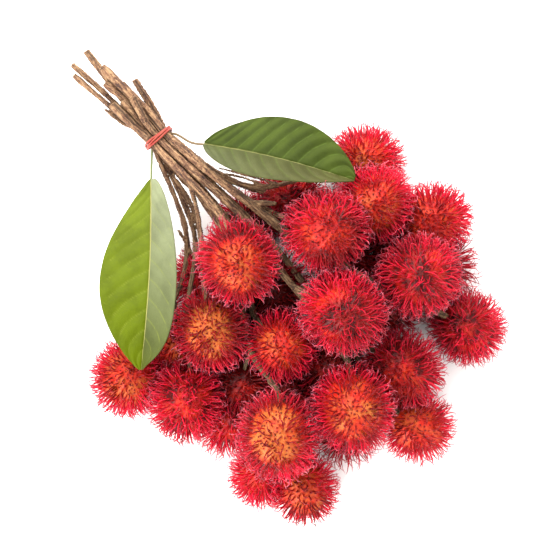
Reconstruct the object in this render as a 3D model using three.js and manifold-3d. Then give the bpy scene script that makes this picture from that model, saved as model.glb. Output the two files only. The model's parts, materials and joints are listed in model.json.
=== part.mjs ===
// A tied bunch of rambutans, lying on a flat surface: fruits with soft spines on woody stems,
// two leaves, and the rubber band round the stems. Millimetres, +Z up.
//
// Places are given as [along, across, height]: along runs from the tie towards the fruits, across
// is to the left of that as seen from above, and height is above the surface. The finished bunch is
// then shifted so that the origin lies on the surface under the middle of its footprint.
import * as THREE from "three";
import { ConvexHull } from "three/addons/math/ConvexHull.js";
import { mergeVertices } from "three/addons/utils/BufferGeometryUtils.js";
import Module from "manifold-3d";

const wasm = await Module();
wasm.setup();

// ---------------------------------------------------------------- driving dimensions

const FRUIT = {
  girth: 0.96, // half the body's width, as a share of its mean radius
  length: 1.1, // half the body's length, as a share of its mean radius
  pressedFlat: 1, // how deep the resting skin is pressed flat by the fruit's weight
  spinesPerRadius: 3,
  spineLength: 11,
  spineRoot: 2.7, // side of a spine's three-sided root
  spineLean: 0.3, // sideways lean of a spine, as a share of its length
  leastStand: 3.2, // a spine pressed lower than this over the skin is left out
  bareAngle: 0.42, // radians round the stalk that carry no spine
};
const GAP = {
  fruits: 0.35, // from a spine to the plane that parts two fruits
  stalk: 0.45, // between a stalk's end and the skin
  floor: 0.3, // under the lowest bent spine tip
  wood: 0.4, // between two stems
  skin: 1.3, // between a stem and a fruit's body
  spine: 0.3, // between a spine and a stem
  leaf: 2.4, // between a spine and the middle of a leaf's blade
};
// Inside the tie the stems are pressed thinner, and they swell to full size over the swell length.
const TIE = {
  reach: 4.5, squeeze: 0.85, swell: 26, middleHeight: 29,
  bandWidth: 3.4, bandThickness: 1.3, slack: 0.7, bandFacings: 72, bandCorners: 24,
};
const WOOD = {
  spacing: 9, // between the points that a stem is laid by
  trunkSides: 6, twigSides: 5, twigRadius: 1.5,
  approach: 6, // length of a stalk that stands square to its fruit
  knuckle: 0.16, // how much a knuckle swells, as a share of the radius
  knuckleEvery: 3,
  taper: 0.32, // how much thinner a trunk is at its fruit, as a share of the radius
  spurTip: 0.7, // width of a bare spur's tip, as a share of the radius
};
const SETTLE = { passes: 160, lastPasses: 20, smoothing: 0.2, memory: 0.03 };
const LEAF = {
  thickness: 0.8, rib: 1.5, stations: 13, columns: [-1, -0.55, 0, 0.55, 1],
  blunt: 0.012, // share of the length cut off at each end
  petioleRadius: 1, petioleSides: 5,
  petioleInto: 0.06, // how far the petiole runs into the blade, as a share of its length
  ripples: 22, // radians of the edge's ripple along the blade
  cell: 4.5, // radius round a point in which the leaf counts as over it
};

// ---------------------------------------------------------------- what the bunch holds

// A fruit with rests: true lies on the surface, so its height follows from its size.
const fruits = [
  { name: "fruit_01", at: [91.4, 87.4, 0], radius: 16.2, rests: true },
  { name: "fruit_02", at: [115, 73, 41], radius: 16.2 },
  { name: "fruit_03", at: [108, 40, 58], radius: 17.4 },
  { name: "fruit_04", at: [145, 95, 26], radius: 16.2 },
  { name: "fruit_05", at: [164, 65, 50], radius: 18 },
  { name: "fruit_06", at: [209.8, 70.6, 0], radius: 16.2, rests: true },
  { name: "fruit_07", at: [89, -11, 57], radius: 17.4 },
  { name: "fruit_08", at: [110, -50, 40], radius: 16.2 },
  { name: "fruit_09", at: [144, -24, 36], radius: 14.4 },
  { name: "fruit_10", at: [151, 17, 60], radius: 18 },
  { name: "fruit_11", at: [202, 23, 29], radius: 17.1 },
  { name: "fruit_12", at: [199.1, -15.2, 50], radius: 18 },
  { name: "fruit_13", at: [183, -59, 54], radius: 18.3 },
  { name: "fruit_14", at: [221, -70.6, 0], radius: 15, rests: true },
  { name: "fruit_15", at: [237.1, 7.8, 0], radius: 15.3, rests: true },
  { name: "fruit_16", at: [133.3, -90.4, 24], radius: 16.8 },
  { name: "fruit_17", at: [99.2, -108.8, 0], radius: 16.8, rests: true },
  { name: "fruit_18", at: [100.4, -76, 0], radius: 14.1, rests: true },
  { name: "fruit_19", at: [78, 38, 0], radius: 15, rests: true },
  { name: "fruit_20", at: [198, -86, 0], radius: 12.4, rests: true },
  { name: "fruit_21", at: [83, -36, 0], radius: 13.8, rests: true },
  { name: "fruit_22", at: [116, -6, 0], radius: 15, rests: true },
  { name: "fruit_23", at: [131, 39, 0], radius: 15, rests: true },
  { name: "fruit_24", at: [175, -10, 0], radius: 15, rests: true },
  { name: "fruit_25", at: [167, 40, 0], radius: 15, rests: true },
  { name: "fruit_26", at: [147, -59, 0], radius: 13.8, rests: true },
  { name: "fruit_27", at: [210, -26, 0], radius: 13.2, rests: true },
  { name: "fruit_28", at: [171, -41, 0], radius: 12, rests: true },
  { name: "fruit_29", at: [160.6, -81.2, 0], radius: 11.1, rests: true },
  { name: "fruit_30", at: [140, 69, 0], radius: 12.3, rests: true },
  { name: "fruit_31", at: [171, 81.7, 0], radius: 13.5, rests: true },
  { name: "fruit_32", at: [74, 8, 0], radius: 10.5, rests: true },
  { name: "fruit_33", at: [126, -37, 0], radius: 11, rests: true },
];

// A stem runs from its cut end, through its slot in the tie, along its trunk to a fruit. Its twigs
// branch off near the point "from", and end at a fruit or as a bare spur at "tip".
const stems = [
  {
    name: "stem_01", radius: 2.85, slot: [4.8, 33.3],
    cut: [[-55, 1, 30.5], [-35.7, 2.6, 32.5], [-17.8, 4.4, 33.5]],
    trunk: [
      [13.6, 5.8, 36], [23.6, 7.1, 38], [33.8, 8.8, 40], [45, 11.3, 41], [56.1, 13.7, 42],
      [66.5, 16.7, 43], [75.3, 18.7, 43], [85.7, 20.1, 42], [98.8, 20.9, 41], [116.8, 29.3, 38],
      [131.5, 37.5, 36], [146.3, 40.2, 35], [163.3, 47.3, 34], [177, 54.1, 32], [189.9, 61.8, 30],
    ],
    fruit: "fruit_06",
    twigs: [
      { from: [92.4, 20.7, 41], fruit: "fruit_03" },
      { from: [158.7, 45.5, 35], fruit: "fruit_05" },
      { from: [168.3, 49.4, 34], via: [[179, 64.9, 28]], fruit: "fruit_31" },
      { from: [69.4, 17.4, 43], tip: [76.9, 28.3, 42], radius: 2 },
    ],
  },
  {
    name: "stem_02", radius: 2.6, slot: [0, 33.3],
    cut: [[-28.5, 4.3, 36.5], [-16.1, 2.4, 35.5]],
    trunk: [
      [12.3, 0.6, 35], [22.2, 1.9, 37], [32.1, 3.1, 39], [41.8, 4.6, 41], [52.5, 6.6, 42],
      [62.9, 8.8, 42], [72.9, 11.4, 41], [83.6, 9.4, 38], [93.7, 5.6, 36], [104.6, 2.7, 35],
      [116.5, 3.7, 37], [127.9, 5.1, 38], [144.2, 4.8, 36.5], [163.6, 4.4, 35], [176.5, 3, 36],
    ],
    fruit: "fruit_12",
    twigs: [
      { from: [122, 4.6, 38], fruit: "fruit_10" },
      { from: [153.4, 3.5, 35.5], fruit: "fruit_24" },
    ],
  },
  {
    name: "stem_03", radius: 2.85, slot: [-4.8, 33.3],
    cut: [[-33.1, -8.7, 34], [-21.7, -8, 34.5]],
    trunk: [
      [13.2, -4.9, 35.5], [23.9, -4.2, 37.5], [33.5, -2.7, 39.5], [42.3, -0.5, 42], [50.2, 0.8, 44],
      [58.3, 1.1, 45.5],
    ],
    fruit: "fruit_07",
    twigs: [
      {
        from: [35.7, -2.1, 40],
        via: [[46.7, -6.7, 40], [56.6, -12.6, 39.5], [69.8, -23, 38], [85.9, -36.5, 38]],
        fruit: "fruit_08",
      },
    ],
  },
  {
    name: "stem_04", radius: 1.8, slot: [-6.7, 29],
    cut: [[-63.8, -15.4, 22], [-44.8, -12.4, 25], [-23.6, -9.5, 27.5]],
    trunk: [
      [10.9, -9.6, 28], [19.2, -11.9, 27], [28.3, -13.3, 26.5], [38.4, -15.4, 26], [48.3, -17.8, 25.5],
      [57.8, -21.8, 25.5], [65.2, -27.2, 26], [72.5, -36.4, 27], [80.9, -47.3, 28], [86.4, -65.3, 29],
      [86.7, -83.9, 29],
    ],
    fruit: "fruit_17",
    twigs: [
      { from: [83, -56.2, 28], fruit: "fruit_18" },
      { from: [-11.8, -9.2, 28.5], via: [[-22, -13.8, 28]], tip: [-35.4, -13.5, 27], radius: 1.2 },
      { from: [64.5, -29, 26], tip: [50.3, -27.1, 30], radius: 0.9 },
      { from: [64.5, -29, 26], tip: [74.4, -31.4, 30], radius: 0.9 },
    ],
  },
  {
    name: "stem_05", radius: 1.8, slot: [-4.4, 25],
    cut: [[-70, -12, 20], [-49, -8, 22], [-30, -6.5, 23.5]],
    trunk: [
      [13, -6.6, 24.5], [23.2, -8.8, 24.5], [32.8, -9.7, 24.5], [42.1, -11.9, 25], [50.1, -13.8, 25.5],
      [58.2, -16.5, 26.5], [66.1, -20.5, 29], [73.1, -30.2, 32], [82.1, -44, 32.5], [94.5, -59.2, 32],
      [109.2, -70.1, 31], [119.2, -75.3, 30],
    ],
    fruit: "fruit_16",
    twigs: [
      {
        from: [21.5, -9.8, 24.5],
        via: [[33.4, -8.3, 27.5], [41.7, -8.9, 28], [51.9, -11.9, 28], [60.9, -16.3, 27.5]],
        fruit: "fruit_21",
      },
      { from: [11.8, -7.2, 24.5], tip: [36.5, -4.1, 22.5], radius: 2.1 },
    ],
  },
  {
    name: "stem_06", radius: 2.3, slot: [-2.2, 29],
    cut: [[-30.9, -2.8, 33.5], [-18, -2.9, 31]],
    trunk: [
      [16.3, -3.3, 29.5], [29.3, -3, 30.5], [41.9, -2.4, 32], [53.1, -2.3, 33], [64.8, -2.5, 34],
      [80.9, -9.7, 35], [98.6, -21.4, 36], [116.5, -30.9, 37], [133.2, -41, 37], [145.4, -43.3, 37],
      [155.4, -40.8, 37], [166.4, -38.1, 36], [177.7, -46.8, 32], [189.3, -59.7, 30],
    ],
    fruit: "fruit_14",
    twigs: [
      { from: [133.2, -41, 37], fruit: "fruit_26" },
      { from: [153.4, -42.2, 37], fruit: "fruit_28" },
      { from: [164, -40.1, 36], fruit: "fruit_13" },
      { from: [172.5, -42.4, 34], via: [[168.8, -59.9, 28]], fruit: "fruit_29" },
      { from: [187.5, -58.1, 30], fruit: "fruit_20" },
    ],
  },
  {
    name: "stem_07", radius: 2.5, slot: [0, 25],
    cut: [[-70, 0, 24], [-52, -1, 25], [-34, -2, 25]],
    trunk: [
      [25.7, -1.2, 26], [56.3, 1.9, 28.5], [78, 1.2, 30], [91, -5, 30], [102.4, -16.9, 28.5],
      [115.4, -27.1, 27],
    ],
    fruit: "fruit_09",
    twigs: [
      { from: [56.3, 1.9, 28.5], fruit: "fruit_32" },
      { from: [89.3, -5.1, 30], fruit: "fruit_22" },
      { from: [109.8, -22.4, 27.5], fruit: "fruit_33" },
    ],
  },
  {
    name: "stem_08", radius: 2.1, slot: [6.2, 29],
    cut: [[-36.1, 11.2, 34], [-22.9, 8.1, 32]],
    trunk: [
      [12.2, 6.6, 31], [22.2, 7.7, 31.5], [33.1, 8.9, 32], [44.4, 11.4, 33], [54.2, 15, 34],
      [62.4, 20, 35], [68.6, 27.3, 35.5], [74.4, 44.6, 35], [77.9, 62.2, 33],
    ],
    fruit: "fruit_01",
    twigs: [
      { from: [49.6, 13.3, 34], fruit: "fruit_19" },
      { from: [70.7, 33.5, 35.5], via: [[53.7, 27.4, 39]], tip: [37.8, 15.6, 38.5], radius: 0.8 },
      { from: [69.3, 30, 35.5], via: [[52.2, 27, 35.5]], tip: [42.3, 15.6, 35.5], radius: 0.8 },
    ],
  },
  {
    name: "stem_09", radius: 2.3, slot: [4.4, 25],
    cut: [[-41.3, 0.8, 25], [-23.4, 3.2, 24.5]],
    trunk: [
      [33.2, 8.5, 27], [66.9, 16.1, 31.5], [97, 31.2, 34], [114, 47.6, 35], [130.1, 64.1, 34],
      [136.2, 79, 31],
    ],
    fruit: "fruit_04",
    twigs: [
      { from: [106.1, 40.1, 35], fruit: "fruit_23" },
      { from: [117.9, 51.4, 35], fruit: "fruit_02" },
      { from: [125.8, 59.8, 34], fruit: "fruit_30" },
    ],
  },
  {
    name: "stem_10", radius: 2.3, slot: [2.1, 29],
    cut: [[-46.7, -2.2, 31], [-33.6, -0.4, 29.5], [-18.7, 1.8, 29]],
    trunk: [
      [23.9, 4.7, 31], [51.7, 8.3, 33], [69.2, 10.3, 33], [84.1, 11.2, 31.5], [102.8, 12.9, 29],
      [123.4, 10, 27], [139.9, 8.8, 28], [154.7, 10.5, 30], [169.4, 10.9, 29], [182.6, 5.6, 26.5],
      [198.2, 1.4, 26], [214.4, 1.9, 27],
    ],
    fruit: "fruit_15",
    twigs: [
      { from: [162.4, 11.2, 31], fruit: "fruit_25" },
      { from: [169, 10.5, 29], fruit: "fruit_11" },
      { from: [196, 1.6, 26], fruit: "fruit_27" },
    ],
  },
];

// A leaf's halves are folded up about its midrib. They are given left first, looking from base to
// tip. fullest is where along the blade a half is widest, as a share of the length, and a half with
// a high pointed has slender ends. The midrib bows to the left and arches upwards.
const leaves = [
  {
    name: "leaf_1", base: [20.9, 18, 38], tip: [97.1, 71.8, 60], bow: 1.8, arch: 5, ripple: 0.7,
    halves: [
      { width: 25.3, fullest: 0.54, pointed: 0.58, fold: -6 },
      { width: 25.4, fullest: 0.43, pointed: 0.88, fold: 54 },
    ],
    petiole: [[3.4, 8.9, 32.5], [9, 11, 34], [16, 12.5, 36]],
  },
  {
    name: "leaf_2", base: [15.7, -19.3, 31], tip: [101.6, -97.4, 46], bow: 2.7, arch: 7, ripple: 0.6,
    halves: [
      { width: 25.8, fullest: 0.53, pointed: 0.36, fold: 47 },
      { width: 29.9, fullest: 0.51, pointed: 0.82, fold: -4 },
    ],
    petiole: [[4.7, -9.9, 28.5], [10.1, -14.5, 30]],
  },
];

const COLOURS = {
  skin: { color: 0xd2402a, roughness: 0.6, metalness: 0 },
  bark: { color: 0xa0794f, roughness: 0.85, metalness: 0 },
  leaf: { color: 0x6f9a2e, roughness: 0.45, metalness: 0 },
  rubber: { color: 0xe2604a, roughness: 0.5, metalness: 0 },
};

// ---------------------------------------------------------------- small helpers

const vector = (p) => new THREE.Vector3(...p);
const UP = new THREE.Vector3(0, 0, 1);
const ONE = new THREE.Vector3(1, 1, 1);

// A repeatable source of numbers from 0 to 1.
function seeded(seed) {
  let state = seed;
  return () => {
    state = (state + 0x6d2b79f5) | 0;
    let t = Math.imul(state ^ (state >>> 15), 1 | state);
    t = (t + Math.imul(t ^ (t >>> 7), 61 | t)) ^ t;
    return ((t ^ (t >>> 14)) >>> 0) / 4294967296;
  };
}

// The points of two segments that are closest to each other, as shares of each segment's length.
function closestShares(a0, a1, b0, b1) {
  const u = a1.clone().sub(a0);
  const v = b1.clone().sub(b0);
  const w = a0.clone().sub(b0);
  const uu = u.dot(u);
  const uv = u.dot(v);
  const vv = v.dot(v);
  const uw = u.dot(w);
  const vw = v.dot(w);
  const det = uu * vv - uv * uv;
  const clamp = (x) => Math.min(1, Math.max(0, x));
  let s = det < 1e-9 ? 0 : clamp((uv * vw - vv * uw) / det);
  const t = clamp((uv * s + vw) / vv);
  s = clamp((uv * t - uw) / uu);
  return [s, t];
}

function segmentDistance(a0, a1, b0, b1) {
  const [s, t] = closestShares(a0, a1, b0, b1);
  return a0.clone().lerp(a1, s).distanceTo(b0.clone().lerp(b1, t));
}

function material({ color, roughness, metalness }) {
  return new THREE.MeshStandardMaterial({ color, roughness, metalness, flatShading: true });
}

// A closed geometry as a manifold-3d solid, and back.
function solidOf(geometry) {
  const bare = geometry.index ? geometry.toNonIndexed() : geometry.clone();
  bare.deleteAttribute("normal");
  bare.deleteAttribute("uv");
  const merged = mergeVertices(bare, 1e-4);
  return new wasm.Manifold(
    new wasm.Mesh({
      numProp: 3,
      vertProperties: merged.attributes.position.array,
      triVerts: new Uint32Array(merged.index.array),
    }),
  );
}

function geometryOf(solid) {
  const mesh = solid.getMesh();
  const geometry = new THREE.BufferGeometry();
  geometry.setAttribute("position", new THREE.BufferAttribute(mesh.vertProperties, 3));
  geometry.setIndex(new THREE.BufferAttribute(mesh.triVerts, 1));
  geometry.computeVertexNormals();
  return geometry;
}

function geometryOfTriangles(triangles) {
  const points = triangles.flat().map((p) => p.clone());
  return new THREE.BufferGeometry().setFromPoints(points);
}

// ---------------------------------------------------------------- fruit bodies

const fruitNamed = new Map(fruits.map((f) => [f.name, f]));

// How far a fruit's body reaches from its middle in a direction, as a tangent plane measures it.
function reachOf(fruit, direction) {
  const local = direction.clone().applyQuaternion(fruit.turn.clone().invert());
  return Math.hypot(fruit.semi.x * local.x, fruit.semi.y * local.y, fruit.semi.z * local.z);
}

// A fruit hangs in line with its stalk, so the last point before it gives its turn.
function poseFruit(fruit, stalkFrom) {
  const width = fruit.radius * FRUIT.girth;
  fruit.semi = new THREE.Vector3(width, width, fruit.radius * FRUIT.length);
  fruit.middle = vector(fruit.at);
  if (fruit.rests) fruit.middle.z = fruit.radius;
  for (let pass = 0; pass < 4; pass++) {
    fruit.towardsStalk = stalkFrom.clone().sub(fruit.middle).normalize();
    fruit.turn = new THREE.Quaternion().setFromUnitVectors(UP, fruit.towardsStalk);
    if (fruit.rests) fruit.middle.z = reachOf(fruit, UP) - FRUIT.pressedFlat;
  }
}

// ---------------------------------------------------------------- stems: routes

function nearestIndex(points, target) {
  let best = 0;
  points.forEach((p, i) => {
    if (p.distanceTo(target) < points[best].distanceTo(target)) best = i;
  });
  return best;
}

// Even points along a smooth line through the given ones.
function evenPoints(through) {
  const curve = new THREE.CatmullRomCurve3(through, false, "centripetal");
  const steps = Math.max(2, Math.round(curve.getLength() / WOOD.spacing));
  return curve.getSpacedPoints(steps);
}

function stalkPoint(fruit, clearance) {
  return fruit.middle.clone().addScaledVector(fruit.towardsStalk, fruit.semi.z + clearance);
}

// held lists the points that stay where they are laid: those in the tie.
function layStrand({ stem, points, radius, fruit, fork = null, held = [] }) {
  return { stem, radius, fruit, fork, held, points, wanted: points.map((p) => p.clone()) };
}

function layStems() {
  const strands = [];
  for (const stem of stems) {
    const tieAt = (along) => new THREE.Vector3(along, ...stem.slot);
    const last = fruitNamed.get(stem.fruit);
    poseFruit(last, vector(stem.trunk.at(-1)));
    const cutSide = evenPoints([...stem.cut.map(vector), tieAt(-TIE.reach)]);
    const fruitSide = [tieAt(TIE.reach), ...stem.trunk.map(vector), stalkPoint(last, WOOD.approach)];
    const trunk = layStrand({
      stem, radius: stem.radius, fruit: last, held: [cutSide.length - 1, cutSide.length],
      points: [...cutSide, ...evenPoints(fruitSide)],
    });
    strands.push(trunk);
    for (const twig of stem.twigs) {
      const fork = { strand: trunk, index: nearestIndex(trunk.points, vector(twig.from)) };
      const root = trunk.points[fork.index].clone();
      const via = [root, ...(twig.via ?? []).map(vector)];
      const fruit = fruitNamed.get(twig.fruit);
      if (fruit) poseFruit(fruit, via.at(-1));
      const end = fruit ? stalkPoint(fruit, WOOD.approach) : vector(twig.tip);
      const radius = twig.radius ?? WOOD.twigRadius;
      strands.push(layStrand({ stem, radius, fruit, fork, points: evenPoints([...via, end]) }));
    }
  }
  return strands;
}

// How much of its full radius a strand has at a point: less in the tie, where it is squeezed.
function girthAt(strand, point) {
  if (strand.fork) return 1;
  const free = THREE.MathUtils.smoothstep(Math.abs(point.x), TIE.reach, TIE.reach + TIE.swell);
  return TIE.squeeze + (1 - TIE.squeeze) * free;
}

// Moves a stretch of wood out of a fruit's body.
function pushFromBody(strand, index, fruit) {
  const a = strand.points[index];
  const b = strand.points[index + 1];
  const way = b.clone().sub(a);
  const share = Math.min(1, Math.max(0, fruit.middle.clone().sub(a).dot(way) / way.lengthSq()));
  const away = a.clone().addScaledVector(way, share).sub(fruit.middle);
  const distance = away.length();
  away.normalize();
  const wanted = reachOf(fruit, away) + strand.radius + GAP.skin;
  if (distance >= wanted) return;
  a.addScaledVector(away, (wanted - distance) * (1 - share));
  b.addScaledVector(away, (wanted - distance) * share);
}

// Two strands of one stem may meet round their fork.
function meetAtFork(one, other, i, j) {
  if (one.stem !== other.stem) return false;
  const meets = (twig, trunk, at) => twig.fork?.strand === trunk && Math.abs(at - twig.fork.index) <= 1;
  if (meets(one, other, j) || meets(other, one, i)) return true;
  return one.fork && other.fork && i < 1 && j < 1;
}

function pushStrandsApart(one, other) {
  for (let i = 0; i + 1 < one.points.length; i++) {
    for (let j = 0; j + 1 < other.points.length; j++) {
      const [a0, a1] = [one.points[i], one.points[i + 1]];
      const [b0, b1] = [other.points[j], other.points[j + 1]];
      if (a0.distanceTo(b0) > 4 * WOOD.spacing || meetAtFork(one, other, i, j)) continue;
      const wanted = one.radius * girthAt(one, a0) + other.radius * girthAt(other, b0) + GAP.wood;
      const [s, t] = closestShares(a0, a1, b0, b1);
      const apart = a0.clone().lerp(a1, s).sub(b0.clone().lerp(b1, t));
      const distance = apart.length();
      if (distance >= wanted) continue;
      apart.normalize().multiplyScalar((wanted - distance) / 2);
      a0.addScaledVector(apart, 1 - s);
      a1.addScaledVector(apart, s);
      b0.addScaledVector(apart, t - 1);
      b1.addScaledVector(apart, -t);
    }
  }
}

// Lets the stems find their way between the fruits and past each other.
function settle(strands) {
  const pushAll = () => {
    strands.forEach((one, i) => strands.slice(i + 1).forEach((other) => pushStrandsApart(one, other)));
    for (const strand of strands) {
      for (let i = 0; i + 1 < strand.points.length; i++) {
        for (const fruit of fruits) {
          if (fruit !== strand.fruit || i + 3 < strand.points.length) pushFromBody(strand, i, fruit);
        }
      }
    }
  };
  const hold = () => {
    for (const { points, wanted, held, fruit, fork, radius } of strands) {
      for (const p of points) p.z = Math.max(p.z, radius + GAP.floor);
      for (const index of held) points[index].copy(wanted[index]);
      if (fork) points[0].copy(fork.strand.points[fork.index]);
      if (fruit) points.at(-1).copy(wanted.at(-1));
    }
  };
  for (let pass = 0; pass < SETTLE.passes; pass++) {
    for (const { points, wanted } of strands) {
      for (let i = 1; i + 1 < points.length; i++) {
        const between = points[i - 1].clone().add(points[i + 1]).multiplyScalar(0.5);
        points[i].lerp(between, SETTLE.smoothing).lerp(wanted[i], SETTLE.memory);
      }
    }
    pushAll();
    hold();
  }
  for (let pass = 0; pass < SETTLE.lastPasses; pass++) {
    pushAll();
    hold();
  }
  for (const { points, fruit } of strands) {
    if (fruit) points.push(stalkPoint(fruit, GAP.stalk));
  }
}

// ---------------------------------------------------------------- stems: wood

function roundSection(radius, sides) {
  const corners = Array.from({ length: sides }, (_, i) => {
    const angle = (2 * Math.PI * i) / sides;
    return new THREE.Vector2(radius * Math.cos(angle), radius * Math.sin(angle));
  });
  return new THREE.Shape(corners);
}

// A tube along the points, scaled round its own line by scaleAt(step, steps).
function tube(points, radius, sides, scaleAt) {
  const path = new THREE.CatmullRomCurve3(points, false, "centripetal");
  const steps = points.length - 1;
  const geometry = new THREE.ExtrudeGeometry(roundSection(radius, sides), {
    steps, extrudePath: path, bevelEnabled: false,
  });
  const middles = path.getSpacedPoints(steps);
  const position = geometry.attributes.position;
  const corner = new THREE.Vector3();
  for (let i = 0; i < position.count; i++) {
    corner.fromBufferAttribute(position, i);
    const step = nearestIndex(middles, corner);
    corner.sub(middles[step]).multiplyScalar(scaleAt(step, steps)).add(middles[step]);
    position.setXYZ(i, corner.x, corner.y, corner.z);
  }
  return geometry;
}

// Knuckles where old side shoots stood, and a thinner, then swollen end at the fruit.
function woodScale(strand, random) {
  const isKnuckle = (i) => i % WOOD.knuckleEvery === 1;
  const knuckles = strand.points.map((_, i) => 1 + (isKnuckle(i) ? WOOD.knuckle * random() : 0));
  return (step, steps) => {
    const girth = girthAt(strand, strand.points[step]);
    const inTie = girth < (1 + TIE.squeeze) / 2;
    if (!strand.fruit) return knuckles[step] * (step === steps ? WOOD.spurTip : 1);
    const along = step / steps;
    const slim = strand.fork ? 1 : 1 - WOOD.taper * along * along;
    return girth * (inTie ? 1 : slim * knuckles[step]);
  };
}

function buildStem(stem, strands) {
  const random = seeded(stem.name.length + stem.radius * 100 + stem.slot[0]);
  const parts = strands.filter((s) => s.stem === stem).map((strand) => {
    const sides = strand.fork ? WOOD.twigSides : WOOD.trunkSides;
    return solidOf(tube(strand.points, strand.radius, sides, woodScale(strand, random)));
  });
  const solid = parts.reduce((whole, part) => whole.add(part));
  const mesh = new THREE.Mesh(geometryOf(solid), material(COLOURS.bark));
  mesh.name = stem.name;
  return mesh;
}

// ---------------------------------------------------------------- leaves

// The width of one half of the blade at a share of its length.
function widthOf(half, share) {
  const skewed = share ** (Math.log(0.5) / Math.log(half.fullest));
  return half.width * Math.max(0, Math.sin(Math.PI * skewed)) ** half.pointed;
}

// A point of the blade's middle surface in the leaf's own frame: x along the midrib, y to its left.
// out runs from -1, the right edge, to 1, the left edge.
function bladePoint(leaf, share, out) {
  const half = leaf.halves[out > 0 ? 0 : 1];
  const fold = THREE.MathUtils.degToRad(half.fold);
  const width = widthOf(half, share) * Math.abs(out);
  const bend = Math.sin(Math.PI * share);
  const ripple = leaf.ripple * Math.sin(LEAF.ripples * share) * out * out;
  return new THREE.Vector3(
    leaf.length * share,
    leaf.bow * bend + Math.sign(out) * width * Math.cos(fold),
    leaf.arch * bend + width * Math.sin(fold) + ripple,
  );
}

function bladeGeometry(leaf) {
  const stations = Array.from({ length: LEAF.stations + 1 }, (_, i) => {
    return LEAF.blunt + (1 - 2 * LEAF.blunt) * (i / LEAF.stations);
  });
  const side = (sign) => stations.map((share) => LEAF.columns.map((out) => {
    const depth = out === 0 && sign < 0 ? LEAF.rib : LEAF.thickness / 2;
    return bladePoint(leaf, share, out).addScaledVector(UP, sign * depth);
  }));
  const [top, under] = [side(1), side(-1)];
  const triangles = [];
  const quad = (a, b, c, d) => triangles.push([a, b, c], [a, c, d]);
  const rows = stations.length - 1;
  const columns = LEAF.columns.length - 1;
  for (let i = 0; i < rows; i++) {
    for (let j = 0; j < columns; j++) {
      quad(top[i][j], top[i + 1][j], top[i + 1][j + 1], top[i][j + 1]);
      triangles.push([under[i][j], under[i + 1][j + 1], under[i + 1][j]]);
      triangles.push([under[i][j], under[i][j + 1], under[i + 1][j + 1]]);
    }
    quad(top[i][0], under[i][0], under[i + 1][0], top[i + 1][0]);
    quad(top[i][columns], top[i + 1][columns], under[i + 1][columns], under[i][columns]);
  }
  for (let j = 0; j < columns; j++) {
    quad(top[0][j], top[0][j + 1], under[0][j + 1], under[0][j]);
    quad(top[rows][j], under[rows][j], under[rows][j + 1], top[rows][j + 1]);
  }
  return geometryOfTriangles(triangles);
}

// The leaf's own frame: x from base to tip, z as near to straight up as that allows.
function poseLeaf(leaf) {
  const base = vector(leaf.base);
  const along = vector(leaf.tip).sub(base);
  leaf.length = along.length();
  const x = along.normalize();
  const y = UP.clone().cross(x).normalize();
  const z = x.clone().cross(y);
  leaf.toBunch = new THREE.Matrix4().makeBasis(x, y, z).setPosition(base);
  leaf.fromBunch = leaf.toBunch.clone().invert();
  leaf.surface = [];
  for (let share = 0; share <= 1; share += 0.04) {
    for (let out = -1; out <= 1; out += 0.125) {
      leaf.surface.push(bladePoint(leaf, share, out).applyMatrix4(leaf.toBunch));
    }
  }
}

function buildLeaf(leaf) {
  const petioleEnd = bladePoint(leaf, LEAF.petioleInto, 0).addScaledVector(UP, -LEAF.rib / 2);
  const way = leaf.petiole.map((p) => vector(p).applyMatrix4(leaf.fromBunch));
  const line = [...way, new THREE.Vector3(-2, 0, -0.5), petioleEnd];
  const petiole = tube(line, LEAF.petioleRadius, LEAF.petioleSides, () => 1);
  const solid = solidOf(bladeGeometry(leaf)).add(solidOf(petiole));
  const mesh = new THREE.Mesh(geometryOf(solid), material(COLOURS.leaf));
  mesh.name = leaf.name;
  mesh.applyMatrix4(leaf.toBunch);
  return mesh;
}

// The height of a leaf over a point of the bunch, or Infinity beside the leaf.
function leafHeightOver(leaf, point) {
  const over = leaf.surface.filter((p) => Math.hypot(p.x - point.x, p.y - point.y) < LEAF.cell);
  return Math.min(...over.map((p) => p.z));
}

// ---------------------------------------------------------------- fruits

// One direction for each of a fruit's spines, spread evenly over a sphere from pole to pole.
function spineDirections(fruit) {
  const count = Math.round(fruit.radius * FRUIT.spinesPerRadius);
  const golden = Math.PI * (3 - Math.sqrt(5));
  return Array.from({ length: count }, (_, i) => {
    const z = 1 - (2 * i + 1) / count;
    const ring = Math.sqrt(1 - z * z);
    return new THREE.Vector3(ring * Math.cos(golden * i), ring * Math.sin(golden * i), z);
  });
}

// The planes that part a fruit from its neighbours: {normal, offset}, with the fruit at less.
function partingPlanes(fruit) {
  const planes = [];
  for (const other of fruits) {
    if (other === fruit) continue;
    const normal = other.middle.clone().sub(fruit.middle);
    const distance = normal.length();
    if (distance > 4 * fruit.radius) continue;
    normal.normalize();
    const own = reachOf(fruit, normal);
    const free = distance - own - reachOf(other, normal);
    if (free < 2 * GAP.fruits) throw new Error(`${fruit.name} is too close to ${other.name}`);
    planes.push({ normal, offset: fruit.middle.dot(normal) + own + free / 2 - GAP.fruits });
  }
  return planes;
}

// Where a spine's tip ends up once it is bent clear of the surface, the neighbours and the leaves.
function bentTip(root, tip, planes) {
  const bent = tip.clone();
  for (let pass = 0; pass < 3; pass++) {
    for (const { normal, offset } of planes) {
      const over = bent.dot(normal) - offset;
      if (over > 0) bent.addScaledVector(normal, -over);
    }
    for (const leaf of leaves) {
      const ceiling = leafHeightOver(leaf, bent) - GAP.leaf;
      if (bent.z > ceiling && root.z < ceiling) bent.z = ceiling;
    }
    bent.z = Math.max(bent.z, GAP.floor);
  }
  return bent;
}

function clearOfWood(root, tip, strands) {
  return strands.every(({ points, radius }) => points.slice(1).every((point, i) =>
    segmentDistance(root, tip, points[i], point) > radius + FRUIT.spineRoot * 0.45 + GAP.spine));
}

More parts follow.
